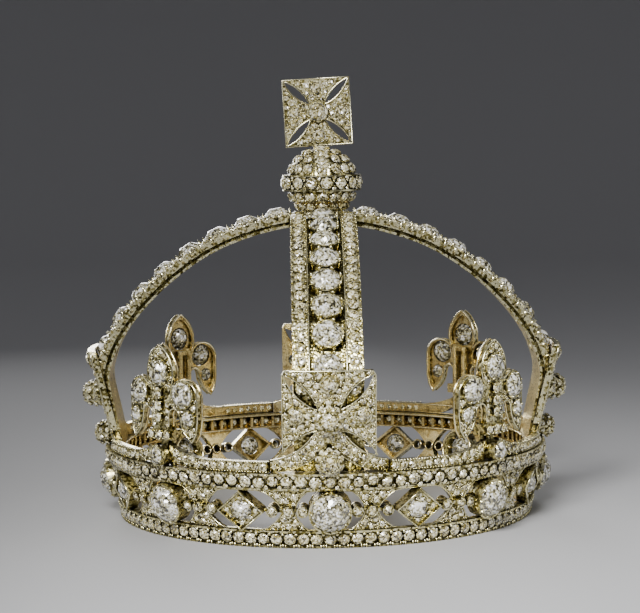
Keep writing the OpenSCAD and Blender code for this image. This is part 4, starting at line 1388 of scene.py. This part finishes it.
def build_bar(bm):
    bmesh.ops.create_cube(bm, size=1)
    bmesh.ops.bevel(
        bm, geom=bm.edges[:], offset=0.12, segments=1, affect="EDGES", profile=0.5, material=-1
    )


def ring(name, radius, thick):
    """A flat ring of wire."""
    return wire(name, [Vector((x, z, 0)) for x, z in arc(0, 0, radius, 0, 360, 20)[:-1]], thick, True)


def backs(bays, x):
    """Places behind the collets that stand x across to either side of these bays."""
    return [bay @ on_wall(s * x, rise=BACK_RISE) for bay in bays for s in (-1, 1)]


bar = shape("bar", build_bar)
bars = [turned((i + 0.5) * 360 / ROW_COUNT) @ moved(0, -BAR_R, WINDOW_Z) @ BAR for i in range(ROW_COUNT)]
points = [
    turned(i * 360 / ROW_COUNT) @ moved(0, -ROW_POINT_R, WINDOW_Z) @ ROW_POINT for i in range(ROW_COUNT)
]
large_rings = [bay @ on_wall(0, rise=BACK_RISE) for bay in round_bays]
small_rings = backs(round_bays, ROUND_SIDE_X) + backs(lozenge_bays, LOZENGE_SIDE_X)
small_rings += [
    bay @ turned(s * UPRIGHT_TURN) @ on_wall(0, rise=BACK_RISE) for bay in round_bays for s in (-1, 1)
]
joined("window_bars", [(bar, bars)], gold)
stone_work("row_points", points)
gold_work(
    "collet_backs",
    (ring("large_ring", *LARGE_RING), large_rings), (ring("small_ring", *SMALL_RING), small_rings),
)

# %% [markdown]
# The gold shelf inside the band and the ribbon's back catch the light along their edges, which reads
# as bright lines round the inside. A thin wire of light gold is laid along each edge as a painted
# highlight, for one quarter of the crown, and turned to the others. The ribbon's stones show their
# points between the two wires.

# %% Painted highlights along the edges inside the band and the garland
SHELF_IN = 44.3
SHELF_LIP = 0.9
SHELF_EDGE = 0.2
RIBBON_T = 1.5
RIBBON_EDGES = (BAND_H + 0.25, BAND_H + RIBBON_H - 0.1)
RIBBON_BACK_STONE = 1.25
QUARTER_REACH = 45


def inner_line(r, z, reach):
    """Wire along the inside of the crown, reach degrees to either side of the front."""
    angles = [math.radians(reach * (i / 12 - 1)) for i in range(25)]
    return wire("inner_line", [Vector((r * math.sin(a), -r * math.cos(a), z)) for a in angles], EDGE_WIRE)


# Each wire is a painted highlight along an edge of the shelf or of the ribbon's back.
edge_highlights = [
    inner_line(SHELF_IN, BAND_H - SHELF_EDGE, QUARTER_REACH),
    inner_line(SHELF_IN + SHELF_LIP, FRIEZE_HI + SHELF_EDGE, QUARTER_REACH),
]
edge_highlights += [inner_line(ribbon_r(z) - RIBBON_T, z, RIBBON_END) for z in RIBBON_EDGES]
ribbon_back = facing(0, ribbon_mid, ribbon_r(ribbon_mid) - RIBBON_T) @ tipped(180) @ sized(RIBBON_BACK_STONE)
ribbon_points = [
    quarter @ turned(s * ribbon_angle(i, ribbon_count)) @ ribbon_back
    for quarter in fleur_turns for s in (-1, 1) for i in range(ribbon_count)
]
gold_work("inner_edge_highlights", *[(w, fleur_turns) for w in edge_highlights])
stone_work("garland_stone_backs", ribbon_points)

# %% [markdown]
# The photograph was taken with a long lens from a little above the middle of the crown, which stood
# turned by about a degree. These values were fitted until the base, the arches and the top cross
# fell on the same places. The camera looks at its aim, and is then rolled about its own axis.

# %% Camera
PHOTO_WIDTH_PX = 640
CAM_DISTANCE = 462.1
CAM_RISE = 4.88
CAM_FOCAL_PX = 2073.4
CAM_ROLL = 0.81
CAM_YAW = 0.94
CAM_AIM = Vector((-0.774, 0, 45.414))
CAM_PIVOT_Z = 45
SENSOR = 36
rise = math.radians(CAM_RISE)
camera_data = bpy.data.cameras.new("camera")
camera = bpy.data.objects.new("camera", camera_data)
bpy.context.scene.collection.objects.link(camera)
camera_data.sensor_width = SENSOR
camera_data.lens = CAM_FOCAL_PX / PHOTO_WIDTH_PX * SENSOR
camera_data.clip_start = 0.01
camera_data.clip_end = 10
spot = Vector((0, -CAM_DISTANCE * math.cos(rise), CAM_DISTANCE * math.sin(rise) + CAM_PIVOT_Z))
look = (CAM_AIM - spot).to_track_quat("-Z", "Y").to_matrix().to_4x4()
camera.matrix_world = turned(-CAM_YAW) @ Matrix.Translation(spot * MM) @ look @ turned(-CAM_ROLL)
bpy.context.scene.camera = camera
print("camera at", [round(c, 4) for c in camera.matrix_world.translation])

# %% [markdown]
# The photograph has a seamless grey sweep behind the crown, light in front and dark above. A round
# one is made here, a profile of floor, curve and wall spun about the crown's axis, so that the
# crown can be looked at from every side.

# %% Floor in metres
FLOOR_R = 0.9
CURVE_R = 0.35
WALL_H = 0.9
PAPER = "#b4b4b5"


def build_floor(bm):
    inner = bm.verts.new((0, 0, 0))
    outer = bm.verts.new((FLOOR_R, 0, 0))
    bm.edges.new((inner, outer))
    bmesh.ops.spin(
        bm, geom=[outer], cent=(FLOOR_R, 0, CURVE_R), axis=(0, -1, 0), angle=math.radians(90), steps=12
    )
    top = max(bm.verts, key=lambda v: v.co.z)
    above = bmesh.ops.extrude_vert_indiv(bm, verts=[top])["verts"]
    bmesh.ops.translate(bm, verts=above, vec=(0, 0, WALL_H))
    bmesh.ops.spin(
        bm, geom=bm.verts[:] + bm.edges[:], cent=(0, 0, 0), axis=(0, 0, 1),
        angle=math.radians(360), steps=96, use_merge=True,
    )
    bmesh.ops.remove_doubles(bm, verts=bm.verts, dist=0.0001)


floor_mesh = shape("floor", build_floor)
floor_mesh.polygons.foreach_set("use_smooth", [True] * len(floor_mesh.polygons))
floor = bpy.data.objects.new("floor", floor_mesh)
bpy.context.scene.collection.objects.link(floor)
paper, paper_output = new_material("paper_sweep")
paper_shader = add(
    paper, "ShaderNodeBsdfPrincipled", {"Base Color": linear(PAPER), "Roughness": 0.9}
)
paper.node_tree.links.new(paper_shader.outputs[0], paper_output.inputs["Surface"])
floor_mesh.materials.append(paper)
print("floor faces:", len(floor_mesh.polygons))

# %% [markdown]
# A jewel is lit with small bright sources close by, so that facets and rims flash against dark ones.
# The main one is a softbox in front and above, with a grid that keeps its light low: the floor is
# bright before the crown and fades behind it, as in the photograph. Two weak ones graze the sides,
# and one behind rims the arches and lights the crown's far side.

# %% Light in metres and watts
WORLD_TONE = "#88888b"
WORLD_STRENGTH = 1.12


def softbox(name, where, size, power, aim, spread):
    """A square soft light with a grid: spread is the angle of its beam in degrees."""
    data = bpy.data.lights.new(name, "AREA")
    data.size = size
    data.energy = power
    data.spread = math.radians(spread)
    light = bpy.data.objects.new(name, data)
    towards = (Vector(aim) - Vector(where)).to_track_quat("-Z", "Y").to_matrix().to_4x4()
    light.matrix_world = moved(*where) @ towards
    light.visible_camera = False
    bpy.context.scene.collection.objects.link(light)


softbox("key", where=(-0.06, -0.31, 0.215), size=0.14, power=0.36, aim=(0.05, -0.07, 0), spread=62)
softbox("back", where=(-0.1, 0.42, 0.13), size=0.2, power=0.09, aim=(0, 0, 0.065), spread=36)
for name, x in (("left", -0.5), ("right", 0.5)):
    softbox(name, where=(x, -0.1, 0.2), size=0.3, power=0.06, aim=(0, 0, 0.06), spread=60)
world = bpy.data.worlds.new("studio")
bpy.context.scene.world = world
world.use_nodes = True
world.node_tree.nodes["Background"].inputs["Color"].default_value = linear(WORLD_TONE)
world.node_tree.nodes["Background"].inputs["Strength"].default_value = WORLD_STRENGTH
print("lights:", len(bpy.data.lights))
